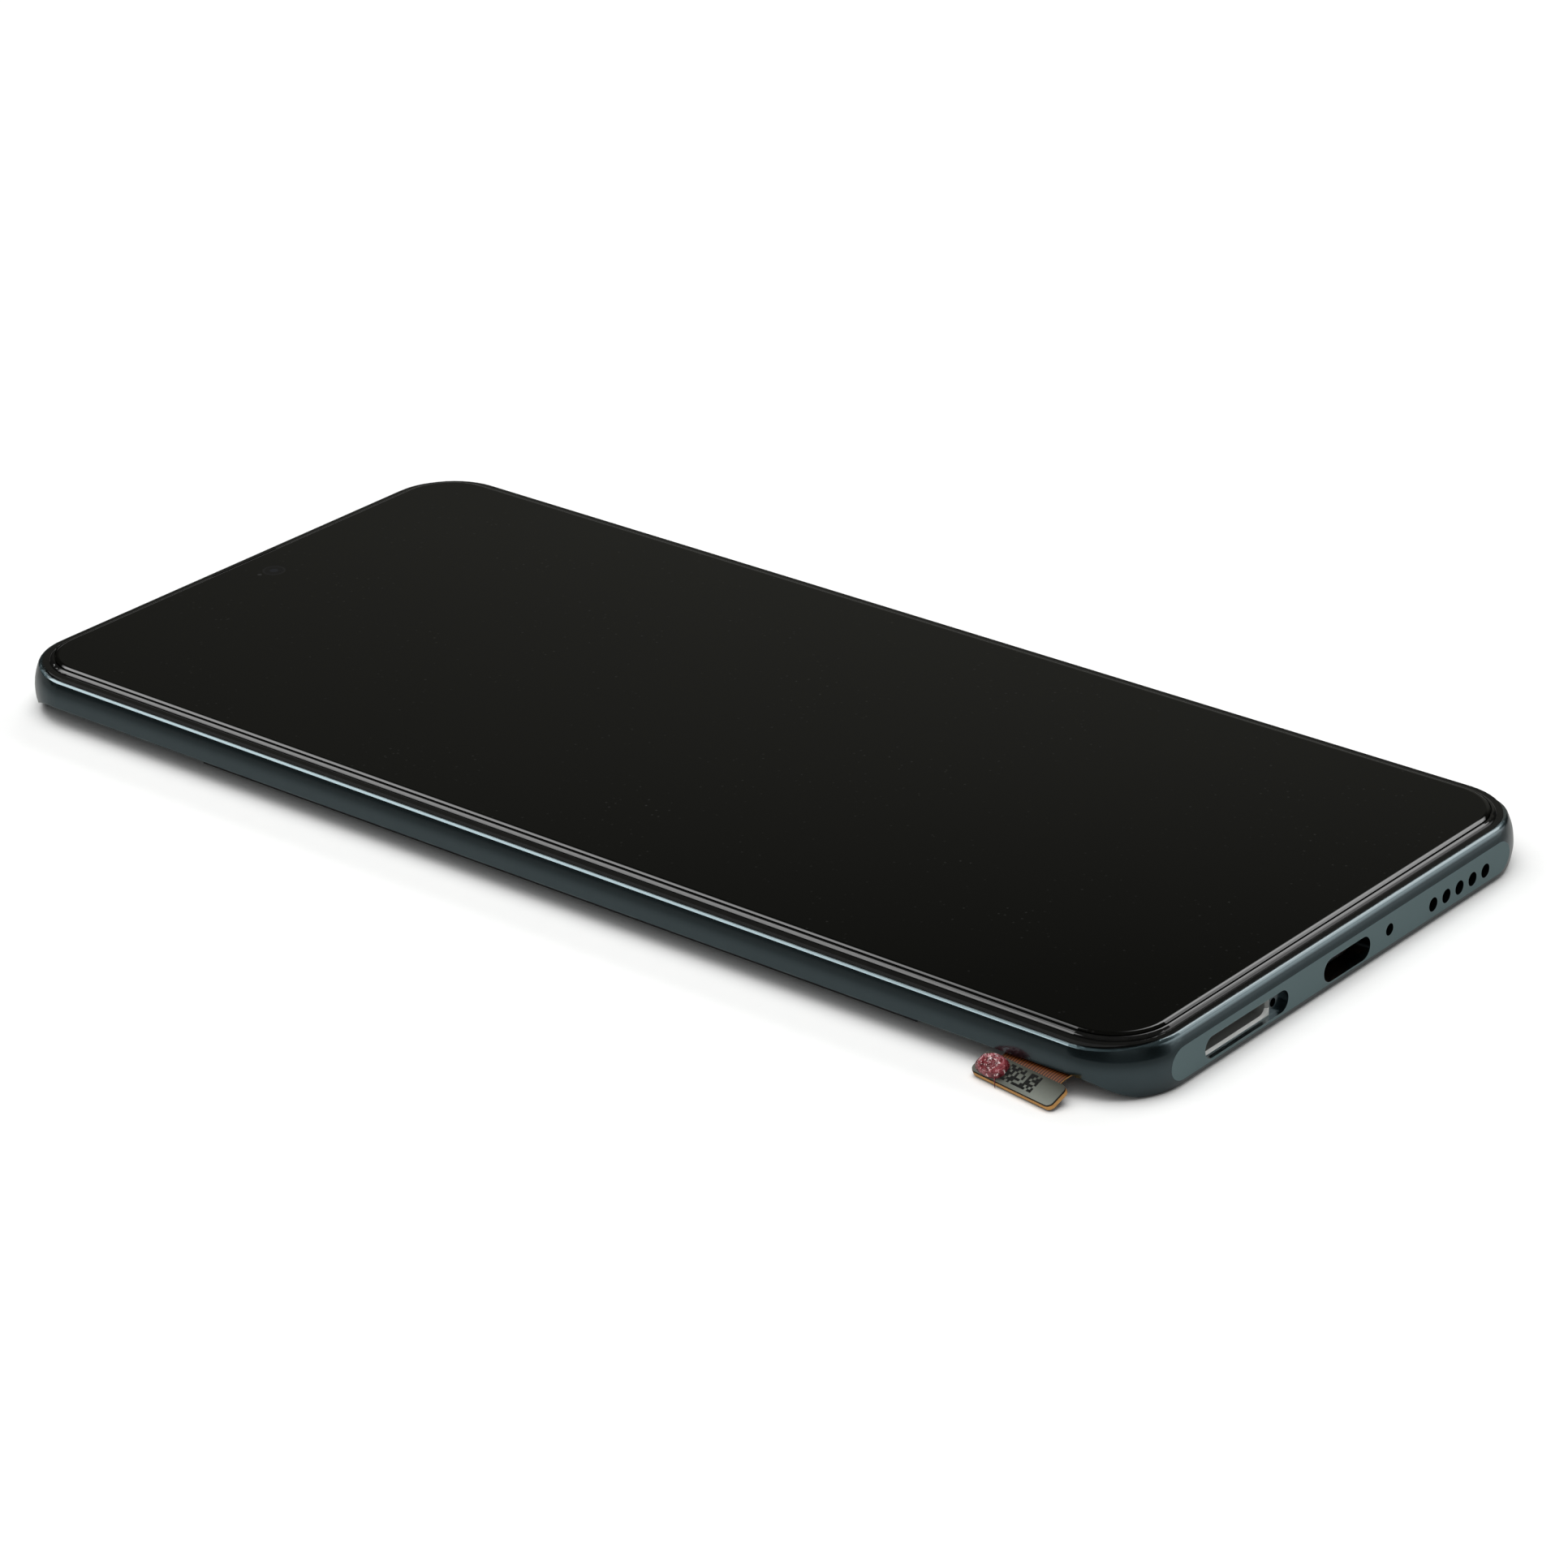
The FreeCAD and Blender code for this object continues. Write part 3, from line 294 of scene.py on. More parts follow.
floor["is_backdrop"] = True

# %% [markdown]
# ## The light
# The lines on the rounded edges fit a softbox behind the part, about 38 degrees high, and one on its
# left, about 47 degrees high. The short, soft shadows show that most light on the paper comes from
# overhead. Lamps could stand for them, but panels in the world are easier to place: each has four
# azimuths, in degrees to the left of +Y, and a ladder of elevations. Each also has two strengths, a shine
# that mirrored rays see and a light for the rest. Real lamps have one strength for both. Two let the
# reflections and the shadows be matched one after the other, at the price that the finish looks different
# under other light. The level glass mirrors the dark lower wall.

# %% Panels
ALL_ROUND = (-182.0, -181.0, 181.0, 182.0)
FRONT_LADDER = ((5.0, 0.1), (25.0, 0.4), (45.0, 1.0), (60.0, 1.0), (72.0, 0.0))
PANELS = {
    "back box": dict(azimuths=(-22.0, -8.0, 26.0, 36.0), shine=3.8, light=5.0,
                     ladder=((31.0, 0.0), (35.0, 1.0), (41.0, 1.0), (46.0, 0.0))),
    "left box": dict(azimuths=(54.0, 74.0, 132.0, 144.0), shine=4.6, light=1.6,
                     ladder=((34.0, 0.0), (40.0, 1.0), (55.0, 1.0), (60.0, 0.0))),
    "overhead": dict(azimuths=ALL_ROUND, shine=0.0, light=2.9,
                     ladder=((55.0, 0.0), (68.0, 1.0), (90.0, 1.0))),
    "front right": dict(azimuths=(-181.0, -175.0, -135.0, -105.0), shine=0.0, light=0.9, ladder=FRONT_LADDER),
    "front left": dict(azimuths=(120.0, 140.0, 175.0, 181.0), shine=0.0, light=0.9, ladder=FRONT_LADDER),
    "glow": dict(azimuths=(-80.0, -55.0, -24.0, -10.0), shine=1.7, light=0.6,
                 ladder=((2.0, 0.25), (10.0, 0.45), (20.0, 0.75), (30.0, 1.0), (38.0, 0.9), (46.0, 0.0))),
    "front glow": dict(azimuths=(-165.0, -140.0, -115.0, -95.0), shine=0.1, light=0.5,
                       ladder=((5.0, 0.2), (20.0, 1.0), (32.0, 1.0), (48.0, 0.0))),
    "wall": dict(azimuths=(5.0, 20.0, 30.0, 64.0), shine=1.7, light=1.0, tint=(1.0, 1.0, 0.88),
                 ladder=((0.0, 0.05), (18.0, 0.08), (22.5, 0.075), (25.0, 0.048), (27.5, 0.012),
                         (30.0, 0.0))),
    "room": dict(azimuths=ALL_ROUND, shine=1.0, light=1.0, tint=(1.0, 1.0, 0.9),
                 ladder=((0.0, 0.012), (25.0, 0.02), (60.0, 0.04), (90.0, 0.05))),
}
world = bpy.data.worlds.new("room")
bpy.context.scene.world = world
world.use_nodes = True
sky = world.node_tree
sky.nodes.clear()
way = along_axes(sky, add(sky, "ShaderNodeTexCoord").outputs["Generated"])
share = compute(sky, "DIVIDE", compute(sky, "ARCSINE", way["Z"]), math.pi / 2, clamp=True)
around = compute(sky, "ARCTAN2", compute(sky, "MULTIPLY", way["X"], -1.0), way["Y"])
ray = add(sky, "ShaderNodeLightPath").outputs


def rungs(stops):
    ramp = add(sky, "ShaderNodeValToRGB", {"Fac": share})
    while len(ramp.color_ramp.elements) < len(stops):
        ramp.color_ramp.elements.new(0.5)
    for stop, (degrees, level) in zip(ramp.color_ramp.elements, stops):
        stop.position = degrees / 90
        stop.color = (level, level, level, 1)
    return ramp.outputs[0]


def panel(azimuths, ladder, shine, light, tint=(1.0, 1.0, 1.0)):
    rise, full, fall, gone = (math.radians(a) for a in azimuths)
    opens = remap(sky, around, rise, full, interpolation_type="SMOOTHSTEP")
    closes = remap(sky, around, gone, fall, interpolation_type="SMOOTHSTEP")
    level = remap(sky, ray["Is Glossy Ray"], 0.0, 1.0, light, shine)
    strength = compute(sky, "MULTIPLY", compute(sky, "MULTIPLY", opens, closes), rungs(ladder))
    strength = compute(sky, "MULTIPLY", strength, level)
    return add(sky, "ShaderNodeBackground", {"Color": (*tint, 1), "Strength": strength}).outputs[0]


lit = panel(**PANELS["room"])
for name in [n for n in PANELS if n != "room"]:
    lit = add(sky, "ShaderNodeAddShader", {0: lit, 1: panel(**PANELS[name])}).outputs[0]
plain_white = add(sky, "ShaderNodeBackground", {"Color": (1, 1, 1, 1), "Strength": 1.0}).outputs[0]
both = add(sky, "ShaderNodeMixShader", {0: ray["Is Camera Ray"], 1: lit, 2: plain_white})
add(sky, "ShaderNodeOutputWorld", {"Surface": both.outputs[0]})
print("panels in the world:", len(PANELS))

# %% [markdown]
# ## How bright is it?
# A sum shows how much light falls on a level surface. At 1.0 a pale matt colour would render as it is
# written. These panels come to about 1.15, so level surfaces render a little lighter than written.

# %% Light on a level surface
def on_level(stops):
    lifts = [(math.sin(math.radians(degrees)) ** 2, level) for degrees, level in stops]
    return sum((a[1] + b[1]) / 2 * (b[0] - a[0]) for a, b in zip(lifts, lifts[1:]))


total = 0.0
for name, p in PANELS.items():
    width = min(1.0, (sum(p["azimuths"][2:]) - sum(p["azimuths"][:2])) / 2 / 360)
    falls = p["light"] * on_level(p["ladder"]) * width
    total += falls
    print(name, "lights a level surface with", round(falls, 3))
print("light on a level surface:", round(total, 3))

# %% [markdown]
# ## Painted metal
# The frame is metal under a thin blue-grey metallic lacquer. The bulged sides are glossy, while the flat
# facet with the ports is finer and matter, and the SIM slot is milled through the paint. Separate
# materials would need the mesh to be split. One material does it all here, because places tell them
# apart: the facet is where X is largest, and the slot is a box behind it.

# %% Frame
FACET_STARTS, FACET_FULL = 0.03 * MM, 0.015 * MM
PAINT_LOW, PAINT_HIGH, FACET_TONE = (0.062, 0.096, 0.108), (0.072, 0.110, 0.122), (0.125, 0.185, 0.193)
# The lip's near-white tone is bare metal with a painted highlight on top.
RUBBED_TONE, MILLED_TONE, LIP_AND_HIGHLIGHT_TONE = (0.2, 0.25, 0.256), (0.30, 0.31, 0.30), (0.85, 0.86, 0.84)
facet_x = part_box("side_frame")[1].x
metal, tree, bsdf = finish_of("frame_metal", {"Coat Roughness": 0.1})
along = along_axes(tree, object_place(tree))
flat = remap(tree, along["X"], facet_x - FACET_STARTS, facet_x - FACET_FULL)
cloudy = place_effect(tree, mottle, Scale=500.0, Contrast=0.4)
worn = place_effect(tree, rub, Width=0.00022, Scale=400.0)
painted = mix_color(tree, flat, mix_color(tree, cloudy["Mask"], PAINT_LOW, PAINT_HIGH), FACET_TONE)
rubbed = mix_color(tree, worn["Mask"], painted, RUBBED_TONE)
print("facet at X mm:", round(facet_x / MM, 2))

# %% Milled slot and bare lip with a painted highlight
SLOT_X, SLOT_Y, SLOT_Z = (70.0, facet_x / MM - 0.66), (-25.6, -13.4), (1.3, 3.7)
LIP_X, LIP_Z = (facet_x / MM - 1.0, facet_x / MM - 0.68), (1.3, 2.2)


def zone(value, span):
    low, high = span
    return compute(tree, "COMPARE", value, (low + high) / 2 * MM, (high - low) / 2 * MM)


def all_of(*masks):
    result = masks[0]
    for mask in masks[1:]:
        result = compute(tree, "MULTIPLY", result, mask)
    return result


milled = all_of(zone(along["X"], SLOT_X), zone(along["Y"], SLOT_Y), zone(along["Z"], SLOT_Z))
# The lip is the slot's chamfer: bare metal, lightened to near white as a painted highlight.
lip_and_highlight = all_of(milled, zone(along["X"], LIP_X), zone(along["Z"], LIP_Z))
blend_color(tree, milled, rubbed, mix_color(tree, lip_and_highlight, MILLED_TONE, LIP_AND_HIGHLIGHT_TONE), bsdf)
flat = compute(tree, "MAXIMUM", flat, milled)
spread(tree, flat, 0.25, 0.6, bsdf.inputs["Roughness"])
spread(tree, flat, 1.0, 0.35, bsdf.inputs["Metallic"])
spread(tree, flat, 1.0, 0.0, bsdf.inputs["Coat Weight"])
frost = place_effect(tree, mottle, Scale=9000.0, Contrast=0.8)
emboss(tree, compute(tree, "MULTIPLY", frost["Height"], flat), 0.15, 0.00002, bsdf)
FINISHES = {"frame_metal": metal}
print("frame_metal nodes:", len(tree.nodes))

# %% [markdown]
# ## The tail's own axes
# The ribbon's tail leans 25 degrees and is turned a little. What lies on it could be placed in the
# frame's axes, but every number would then mix both turns. Three axes of the tail's own keep them plain:
# along it, across it towards the frame, and out of its face.

# %% Axes on the tail
SLOPE, TURN = math.radians(25.0), math.radians(-7.5)
STIFFENER_THICK = 0.2 * MM
spin = Matrix.Rotation(TURN, 3, "Z")
tail_x = spin @ Vector((1, 0, 0))
tail_y = spin @ Vector((0, math.cos(SLOPE), math.sin(SLOPE)))
tail_n = spin @ Vector((0, -math.sin(SLOPE), math.cos(SLOPE)))
low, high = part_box("stiffener_plate")
tail_centre = (low + high) / 2 + tail_n * STIFFENER_THICK / 2


def on_tail(x, y, z):
    return tail_centre + tail_x * x * MM + tail_y * y * MM + tail_n * z * MM


print("tail's middle at mm", [round(v / MM, 2) for v in tail_centre])

# %% [markdown]
# ## The cover glass
# The glass is bonded to black layers without an air gap, so light that enters it does not come back.
# Clear glass over the layers would show that too, but slowly and with noise. The finish is a polished
# near-black with the reflection of glass, and discs of other tones stand for the camera window and the
# light sensor behind it.

# %% Cover glass
GLASS_TONE, LINT_TONE = (0.0015, 0.0015, 0.0012), (0.12, 0.12, 0.115)
SENSOR = Vector((-75.39, -1.97, 0)) * MM
DISC_EDGE = 0.05 * MM
glass, tree, bsdf = finish_of("cover_glass", {"IOR": 1.52, "Coat Weight": 0.0})
smear = place_effect(tree, mottle, Scale=60.0, Contrast=0.5)
lint = place_effect(tree, dust, Scale=900.0, Amount=0.25)
dusted = mix_color(tree, lint["Mask"], GLASS_TONE, LINT_TONE)
window_low, window_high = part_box("camera_gasket")
window = (window_low + window_high) / 2
DISCS = ((window, 1.45, (0.007, 0.007, 0.0075)), (window, 1.2, (0.003, 0.003, 0.0035)),
         (window, 0.55, (0.008, 0.009, 0.012)), (SENSOR, 0.3, (0.02, 0.02, 0.02)))


def disc(centre, radius):
    level = compute_vector(tree, "MULTIPLY", object_place(tree), (1, 1, 0))
    gap = measure(tree, "DISTANCE", level, (centre.x, centre.y, 0))
    return remap(tree, gap, radius, radius - DISC_EDGE)


for centre, radius, tone in DISCS:
    dusted = mix_color(tree, disc(centre, radius * MM), dusted, tone)
tree.links.new(dusted, bsdf.inputs["Base Color"])
spread(tree, smear["Mask"], 0.008, 0.025, bsdf.inputs["Roughness"])
FINISHES["cover_glass"] = glass
print("camera window at mm", [round(v / MM, 2) for v in window])

# %% [markdown]
# ## Finishes that differ only in numbers
# Moulded plastics, films, foams, prints and pressed metals are mostly inside or small. Each could have a
# tree of its own, but they share one build: two tones and two roughnesses, both picked by the cloudy
# variation. So a table holds their numbers, and one function makes them all.

# %% Plain finishes
DUST_TONE = (0.5, 0.49, 0.47)
GRAIN_STRENGTH = 0.4


def plain_finish(name, low, high, scale, rough, metallic=0.0, contrast=0.5, bump=0.0,
                 stretch=(1.0, 1.0, 1.0), dusty=0.0):
    mat, tree, bsdf = finish_of(name, {"Metallic": metallic})
    cloudy = place_effect(tree, mottle, Scale=scale, Contrast=contrast, Stretch=stretch)
    tone = blend_color(tree, cloudy["Mask"], low, high, bsdf)
    if dusty:
        lying = place_effect(tree, dust, Scale=1800.0, Amount=dusty)
        blend_color(tree, lying["Mask"], tone, DUST_TONE, bsdf)
    spread(tree, cloudy["Mask"], *rough, bsdf.inputs["Roughness"])
    if bump:
        emboss(tree, cloudy["Height"], GRAIN_STRENGTH, bump, bsdf)
    FINISHES[name] = mat
    return tree, bsdf, tone


FINE, COARSE = 0.00001, 0.00003
PLAIN = {
    "bezel_black": ((0.004, 0.004, 0.004), (0.007, 0.007, 0.0065), 700.0, (0.05, 0.09), dict(dusty=0.03)),
    "tape_black": ((0.010, 0.010, 0.010), (0.02, 0.02, 0.02), 2500.0, (0.7, 0.9), dict(bump=COARSE)),
    "ink_black": ((0.004, 0.004, 0.004), (0.008, 0.008, 0.008), 1500.0, (0.5, 0.6), {}),
    "adhesive_clear": ((0.80, 0.80, 0.80), (0.88, 0.88, 0.88), 500.0, (0.1, 0.2), {}),
    "polarizer_dark": ((0.010, 0.010, 0.009), (0.014, 0.014, 0.013), 300.0, (0.1, 0.16), {}),
    "filter_glass": ((0.16, 0.18, 0.18), (0.2, 0.22, 0.22), 800.0, (0.05, 0.1), {}),
    "array_glass": ((0.32, 0.36, 0.35), (0.38, 0.42, 0.41), 800.0, (0.05, 0.1), {}),
    "polarizer_rear": ((0.05, 0.05, 0.05), (0.07, 0.07, 0.07), 300.0, (0.15, 0.2), {}),
    "prism_film": ((0.62, 0.64, 0.68), (0.75, 0.76, 0.78), 3000.0, (0.2, 0.4),
                   dict(stretch=(0.02, 1.0, 1.0), bump=FINE)),
    "diffuser_film": ((0.8, 0.8, 0.8), (0.86, 0.86, 0.86), 2500.0, (0.6, 0.75), dict(bump=FINE)),
    "guide_acrylic": ((0.78, 0.82, 0.82), (0.85, 0.88, 0.88), 1200.0, (0.05, 0.12), {}),
    "reflector_film": ((0.8, 0.8, 0.81), (0.88, 0.88, 0.89), 800.0, (0.1, 0.2), dict(metallic=1.0)),
    "moulding_white": ((0.78, 0.78, 0.76), (0.85, 0.85, 0.84), 600.0, (0.45, 0.6), dict(bump=FINE)),
    "led_yellow": ((0.75, 0.66, 0.22), (0.85, 0.78, 0.35), 4000.0, (0.3, 0.45), {}),
    "strip_film": ((0.72, 0.70, 0.62), (0.80, 0.78, 0.70), 900.0, (0.4, 0.5), {}),
    "chip_black": ((0.03, 0.03, 0.04), (0.05, 0.05, 0.06), 700.0, (0.08, 0.15), {}),
    "foam_black": ((0.02, 0.02, 0.02), (0.05, 0.05, 0.05), 5000.0, (0.85, 0.95),
                   dict(bump=0.00006, contrast=0.9)),
    "graphite": ((0.09, 0.09, 0.10), (0.14, 0.14, 0.15), 900.0, (0.3, 0.5), dict(metallic=0.4, bump=FINE)),
    "gasket_black": ((0.015, 0.015, 0.015), (0.03, 0.03, 0.03), 3000.0, (0.7, 0.85), dict(bump=0.00002)),
    "battery_frame": ((0.030, 0.030, 0.033), (0.05, 0.05, 0.054), 1600.0, (0.5, 0.65),
                      dict(bump=0.00002, dusty=0.4)),
    "post_plastic": ((0.030, 0.030, 0.033), (0.05, 0.05, 0.054), 1600.0, (0.5, 0.65), dict(bump=0.00002)),
    "part_black": ((0.02, 0.02, 0.022), (0.04, 0.04, 0.044), 2500.0, (0.3, 0.45), {}),
    "connector_black": ((0.025, 0.025, 0.025), (0.045, 0.045, 0.045), 2500.0, (0.4, 0.55), dict(bump=FINE)),
    "mesh_black": ((0.02, 0.02, 0.022), (0.06, 0.06, 0.065), 6000.0, (0.4, 0.6), dict(bump=COARSE)),
    "plate_metal": ((0.52, 0.53, 0.53), (0.60, 0.61, 0.61), 300.0, (0.32, 0.42),
                    dict(metallic=1.0, bump=FINE)),
    "tray_steel": ((0.55, 0.55, 0.55), (0.64, 0.64, 0.64), 2000.0, (0.28, 0.4),
                   dict(metallic=1.0, stretch=(0.03, 1.0, 1.0), bump=FINE)),
}
for name, (low, high, scale, rough, rest) in PLAIN.items():
    plain_finish(name, low, high, scale, rough, **rest)
print("finishes so far:", len(FINISHES))

# %% [markdown]
# ## The stiffener's steel
# The stiffener is dull steel with a brown-grey tarnish, which is darkest beside the drop and along the
# edge towards the frame. Noise alone would scatter it, so two ramps along the tail's own axes lay it on
# where it belongs.

# %% Steel with painted shade
# The dark tone below is painted shade laid into the steel's colour.
PAINTED_SHADE_TONE = (0.028, 0.029, 0.023)
SHADE_BESIDE_DROP, SHADE_BY_FRAME = (4.5, -1.5, 0.7), (-1.7, 1.3, 0.95)
tree, bsdf, bare = plain_finish("stiffener_steel", (0.12, 0.13, 0.115), (0.155, 0.165, 0.145), 1200.0,
                                (0.42, 0.5), metallic=1.0, bump=FINE)
spot = object_place(tree)


def painted_shade_ramp(axis, unshaded, full, most):
    start = tail_centre.dot(axis)
    place = measure(tree, "DOT_PRODUCT", spot, axis)
    return remap(tree, place, start + unshaded * MM, start + full * MM, 0.0, most)


# Painted shade: the steel darkens towards the drop and towards the frame.
painted_shade = compute(tree, "MAXIMUM", painted_shade_ramp(tail_x, *SHADE_BESIDE_DROP), painted_shade_ramp(tail_y, *SHADE_BY_FRAME))
blend_color(tree, painted_shade, bare, PAINTED_SHADE_TONE, bsdf)
print("stiffener_steel nodes:", len(tree.nodes))

# %% [markdown]
# ## The ribbon
# A display ribbon is copper between two amber films. Each trace could be a strip of mesh, but they are
# far finer than what shows, so a wave gives fine stripes that run along the ribbon, in colour and in
# height. Faces that stand upright are the cut edges of the film, and they are a paler amber.

# %% Ribbon film
FILM_TONE, COPPER_TONE, CUT_TONE = (0.035, 0.008, 0.0015), (0.16, 0.046, 0.009), (0.52, 0.27, 0.08)
TRACE_GAP, TRACE_FULL = 0.35, 0.65
UPRIGHT, SLANTED = 0.45, 0.6
film, tree, bsdf = finish_of("ribbon_film", {"Specular IOR Level": 0.25})
turned = add(tree, "ShaderNodeMapping", {"Vector": object_place(tree), "Rotation": (0, 0, -TURN)})
traces = add(tree, "ShaderNodeTexWave", {"Vector": turned.outputs[0], "Scale": 900.0, "Distortion": 0.6,
                                         "Detail": 1.0, "Detail Scale": 0.2}, bands_direction="X")
copper = remap(tree, traces.outputs[0], TRACE_GAP, TRACE_FULL)
face = mix_color(tree, copper, FILM_TONE, COPPER_TONE)
looks_up = along_axes(tree, surface_normal(tree))["Z"]
cut_edge = compute(tree, "MULTIPLY", remap(tree, looks_up, SLANTED, UPRIGHT),
                   remap(tree, looks_up, -SLANTED, -UPRIGHT))
blend_color(tree, cut_edge, face, CUT_TONE, bsdf)
spread(tree, copper, 0.5, 0.42, bsdf.inputs["Roughness"])
emboss(tree, copper, 0.3, 0.00002, bsdf)
FINISHES["ribbon_film"] = film
print("ribbon_film nodes:", len(tree.nodes))

# %% [markdown]
# ## The lacquer
# The drop is pink lacquer with a wet gloss, deep red in its folds and sprinkled with pale flecks. A plain
# red coat would look like plastic, so a little light passes under the surface, one cloud sets folds and
# colour, and a finer one sets the flecks.

# %% Lacquer
FOLD_TONE, SKIN_TONE, FLECK_TONE = (0.09, 0.006, 0.010), (0.33, 0.065, 0.08), (0.85, 0.66, 0.65)
FLECK_START, FLECK_FULL = 0.60, 0.66
lacquer, tree, bsdf = finish_of("lacquer_pink", {"Coat Weight": 1.0, "Coat Roughness": 0.05,
                                                 "Subsurface Weight": 0.25, "Subsurface Scale": 0.0004,
                                                 "Subsurface Radius": (1.0, 0.3, 0.25)})
folds = place_effect(tree, mottle, Scale=1500.0, Contrast=1.0)
skin = mix_color(tree, folds["Mask"], FOLD_TONE, SKIN_TONE)
flecks = place_effect(tree, mottle, Scale=2600.0, Contrast=1.0)
blend_color(tree, remap(tree, flecks["Height"], FLECK_START, FLECK_FULL), skin, FLECK_TONE, bsdf)
spread(tree, folds["Mask"], 0.12, 0.3, bsdf.inputs["Roughness"])
emboss(tree, folds["Height"], 0.5, 0.0001, bsdf)
FINISHES["lacquer_pink"] = lacquer
print("lacquer_pink nodes:", len(tree.nodes))

# %% [markdown]
# ## Dressing the solids
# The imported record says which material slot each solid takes. The finishes could be put on by hand, one
# solid at a time, but they are named like the slots, so a loop over the record gives each its own and
# forgets none.

# %% Put the finishes on the solids
for part in frame["record"]["subparts"]:
    node = nodes[part["node"]]
    node.material_slots[0].material = FINISHES[part["material_slot"]]
print("dressed:", sum(1 for n in nodes.values() if n.material_slots[0].material.name in FINISHES))

# %% [markdown]
# ## The lacquer drop
# A drop of lacquer sits on the stiffener, and its skin has wrinkled as it dried. It is soft and
# irregular, so it could be sculpted or simulated. A ball that is flattened, squared, leant towards its
# thick end and pushed by noise is quicker and gives the same drop each time. It replaces the plain drop
# of the solids, and no point of it lies under the face of the plate that carries it.

# %% Wrinkled drop
BLOB_AT, BLOB_HALF = (-3.65, -0.02), (1.95, 1.4)
BLOB_HEIGHT = 1.1
BLOB_SQUARE, BLOB_LEAN, BLOB_TAPER = 0.85, 0.25, 0.08
BLOB_BELLY, BLOB_FLARE = 0.25, 0.1
OUTLINE_DEPTH, OUTLINE_SCALE, OUTLINE_SHIFT = 0.10, 1.7, Vector((3.1, 0, 7))
CREASE_DEPTH, CREASE_SCALE, CREASE_SHIFT = 0.30, 2.6, Vector((0.3, 1.7, 5.0))
CREASE_OCTAVES, CREASE_MEAN = 4, 0.55


def squared(value):
    return math.copysign(abs(value) ** BLOB_SQUARE, value)


def blob_point(p):
    wave = noise.noise(Vector((p.x, p.y, 0)) * OUTLINE_SCALE + OUTLINE_SHIFT)
    crease = noise.turbulence(p * CREASE_SCALE + CREASE_SHIFT, CREASE_OCTAVES, True,
                              noise_basis="PERLIN_ORIGINAL")
    along, across = squared(p.x), squared(p.y)
    swell = 1 + CREASE_DEPTH * (crease - CREASE_MEAN)
    z = max(p.z, -BLOB_BELLY) * BLOB_HEIGHT * swell * (1 + BLOB_LEAN * along)
    flare = (1 + OUTLINE_DEPTH * wave) * (1.0 + BLOB_FLARE * max(0.0, -p.z))
    x = BLOB_AT[0] + along * BLOB_HALF[0] * flare
    y = BLOB_AT[1] + across * BLOB_HALF[1] * flare * (1 + BLOB_TAPER * along) + BLOB_TAPER * min(along, 0.0)
    return on_tail(x, y, max(z, 0.0))


form = bmesh.new()
bmesh.ops.create_icosphere(form, subdivisions=6, radius=1.0)
for vert in form.verts:
    vert.co = blob_point(vert.co.normalized())
mesh = bpy.data.meshes.new("lacquer_blob")
form.to_mesh(mesh)
form.free()
for polygon in mesh.polygons:
    polygon.use_smooth = True
blob = show("lacquer_blob", mesh, lacquer)
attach(blob, "root")
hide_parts("lacquer_drop")

# %% [markdown]
# ## The hair of lacquer
# One hair of lacquer runs from the drop over the stiffener's near edge and down beside it. A bent
# cylinder would need its rings placed by hand. A curve with a round bevel needs only the points of the
# way, and is then turned into a mesh.

# %% Hair
THREAD_R = 0.045 * MM
THREAD_WAY = ((-2.7, -0.7, 0.55), (-2.35, -1.1, 0.2), (-2.12, -1.36, 0.07), (-2.04, -1.5, 0.02),
              (-2.0, -1.56, -0.12))
THREAD_FALL = Vector((0.06, -0.05, -0.55)) * MM
path = [on_tail(*point) for point in THREAD_WAY]
path.append(path[-1] + THREAD_FALL)
curve = bpy.data.curves.new("thread_path", "CURVE")
curve.dimensions = "3D"
curve.bevel_depth = THREAD_R
curve.bevel_resolution = 3
curve.use_fill_caps = True
line = curve.splines.new("NURBS")
line.points.add(len(path) - 1)
for point, place in zip(line.points, path):
    point.co = (*place, 1)
line.order_u = 3
line.use_endpoint_u = True
drawn = bpy.data.objects.new("thread_path", curve)
mesh = bpy.data.meshes.new_from_object(drawn)
mesh.name = "lacquer_thread"
bpy.data.objects.remove(drawn)
thread = show("lacquer_thread", mesh, lacquer)
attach(thread, "root")

# %% [markdown]
# ## Fields of small boxes
# The stiffener carries a small code of square dots, and the plug under it has two rows of contacts. Loops
# could place each box, but one small box repeated on a grid is what Geometry Nodes are for. A grid gives
# the places, a random choice with a fixed seed keeps only some of them for the code, and every box
# becomes real mesh at the end.

# %% The tree
FIELD_INPUTS = (("Columns", "Int"), ("Rows", "Int"), ("Pitch X", "Float"), ("Pitch Y", "Float"),
                ("Box", "Vector"), ("Share", "Float"), ("Seed", "Int"), ("Finish", "Material"))


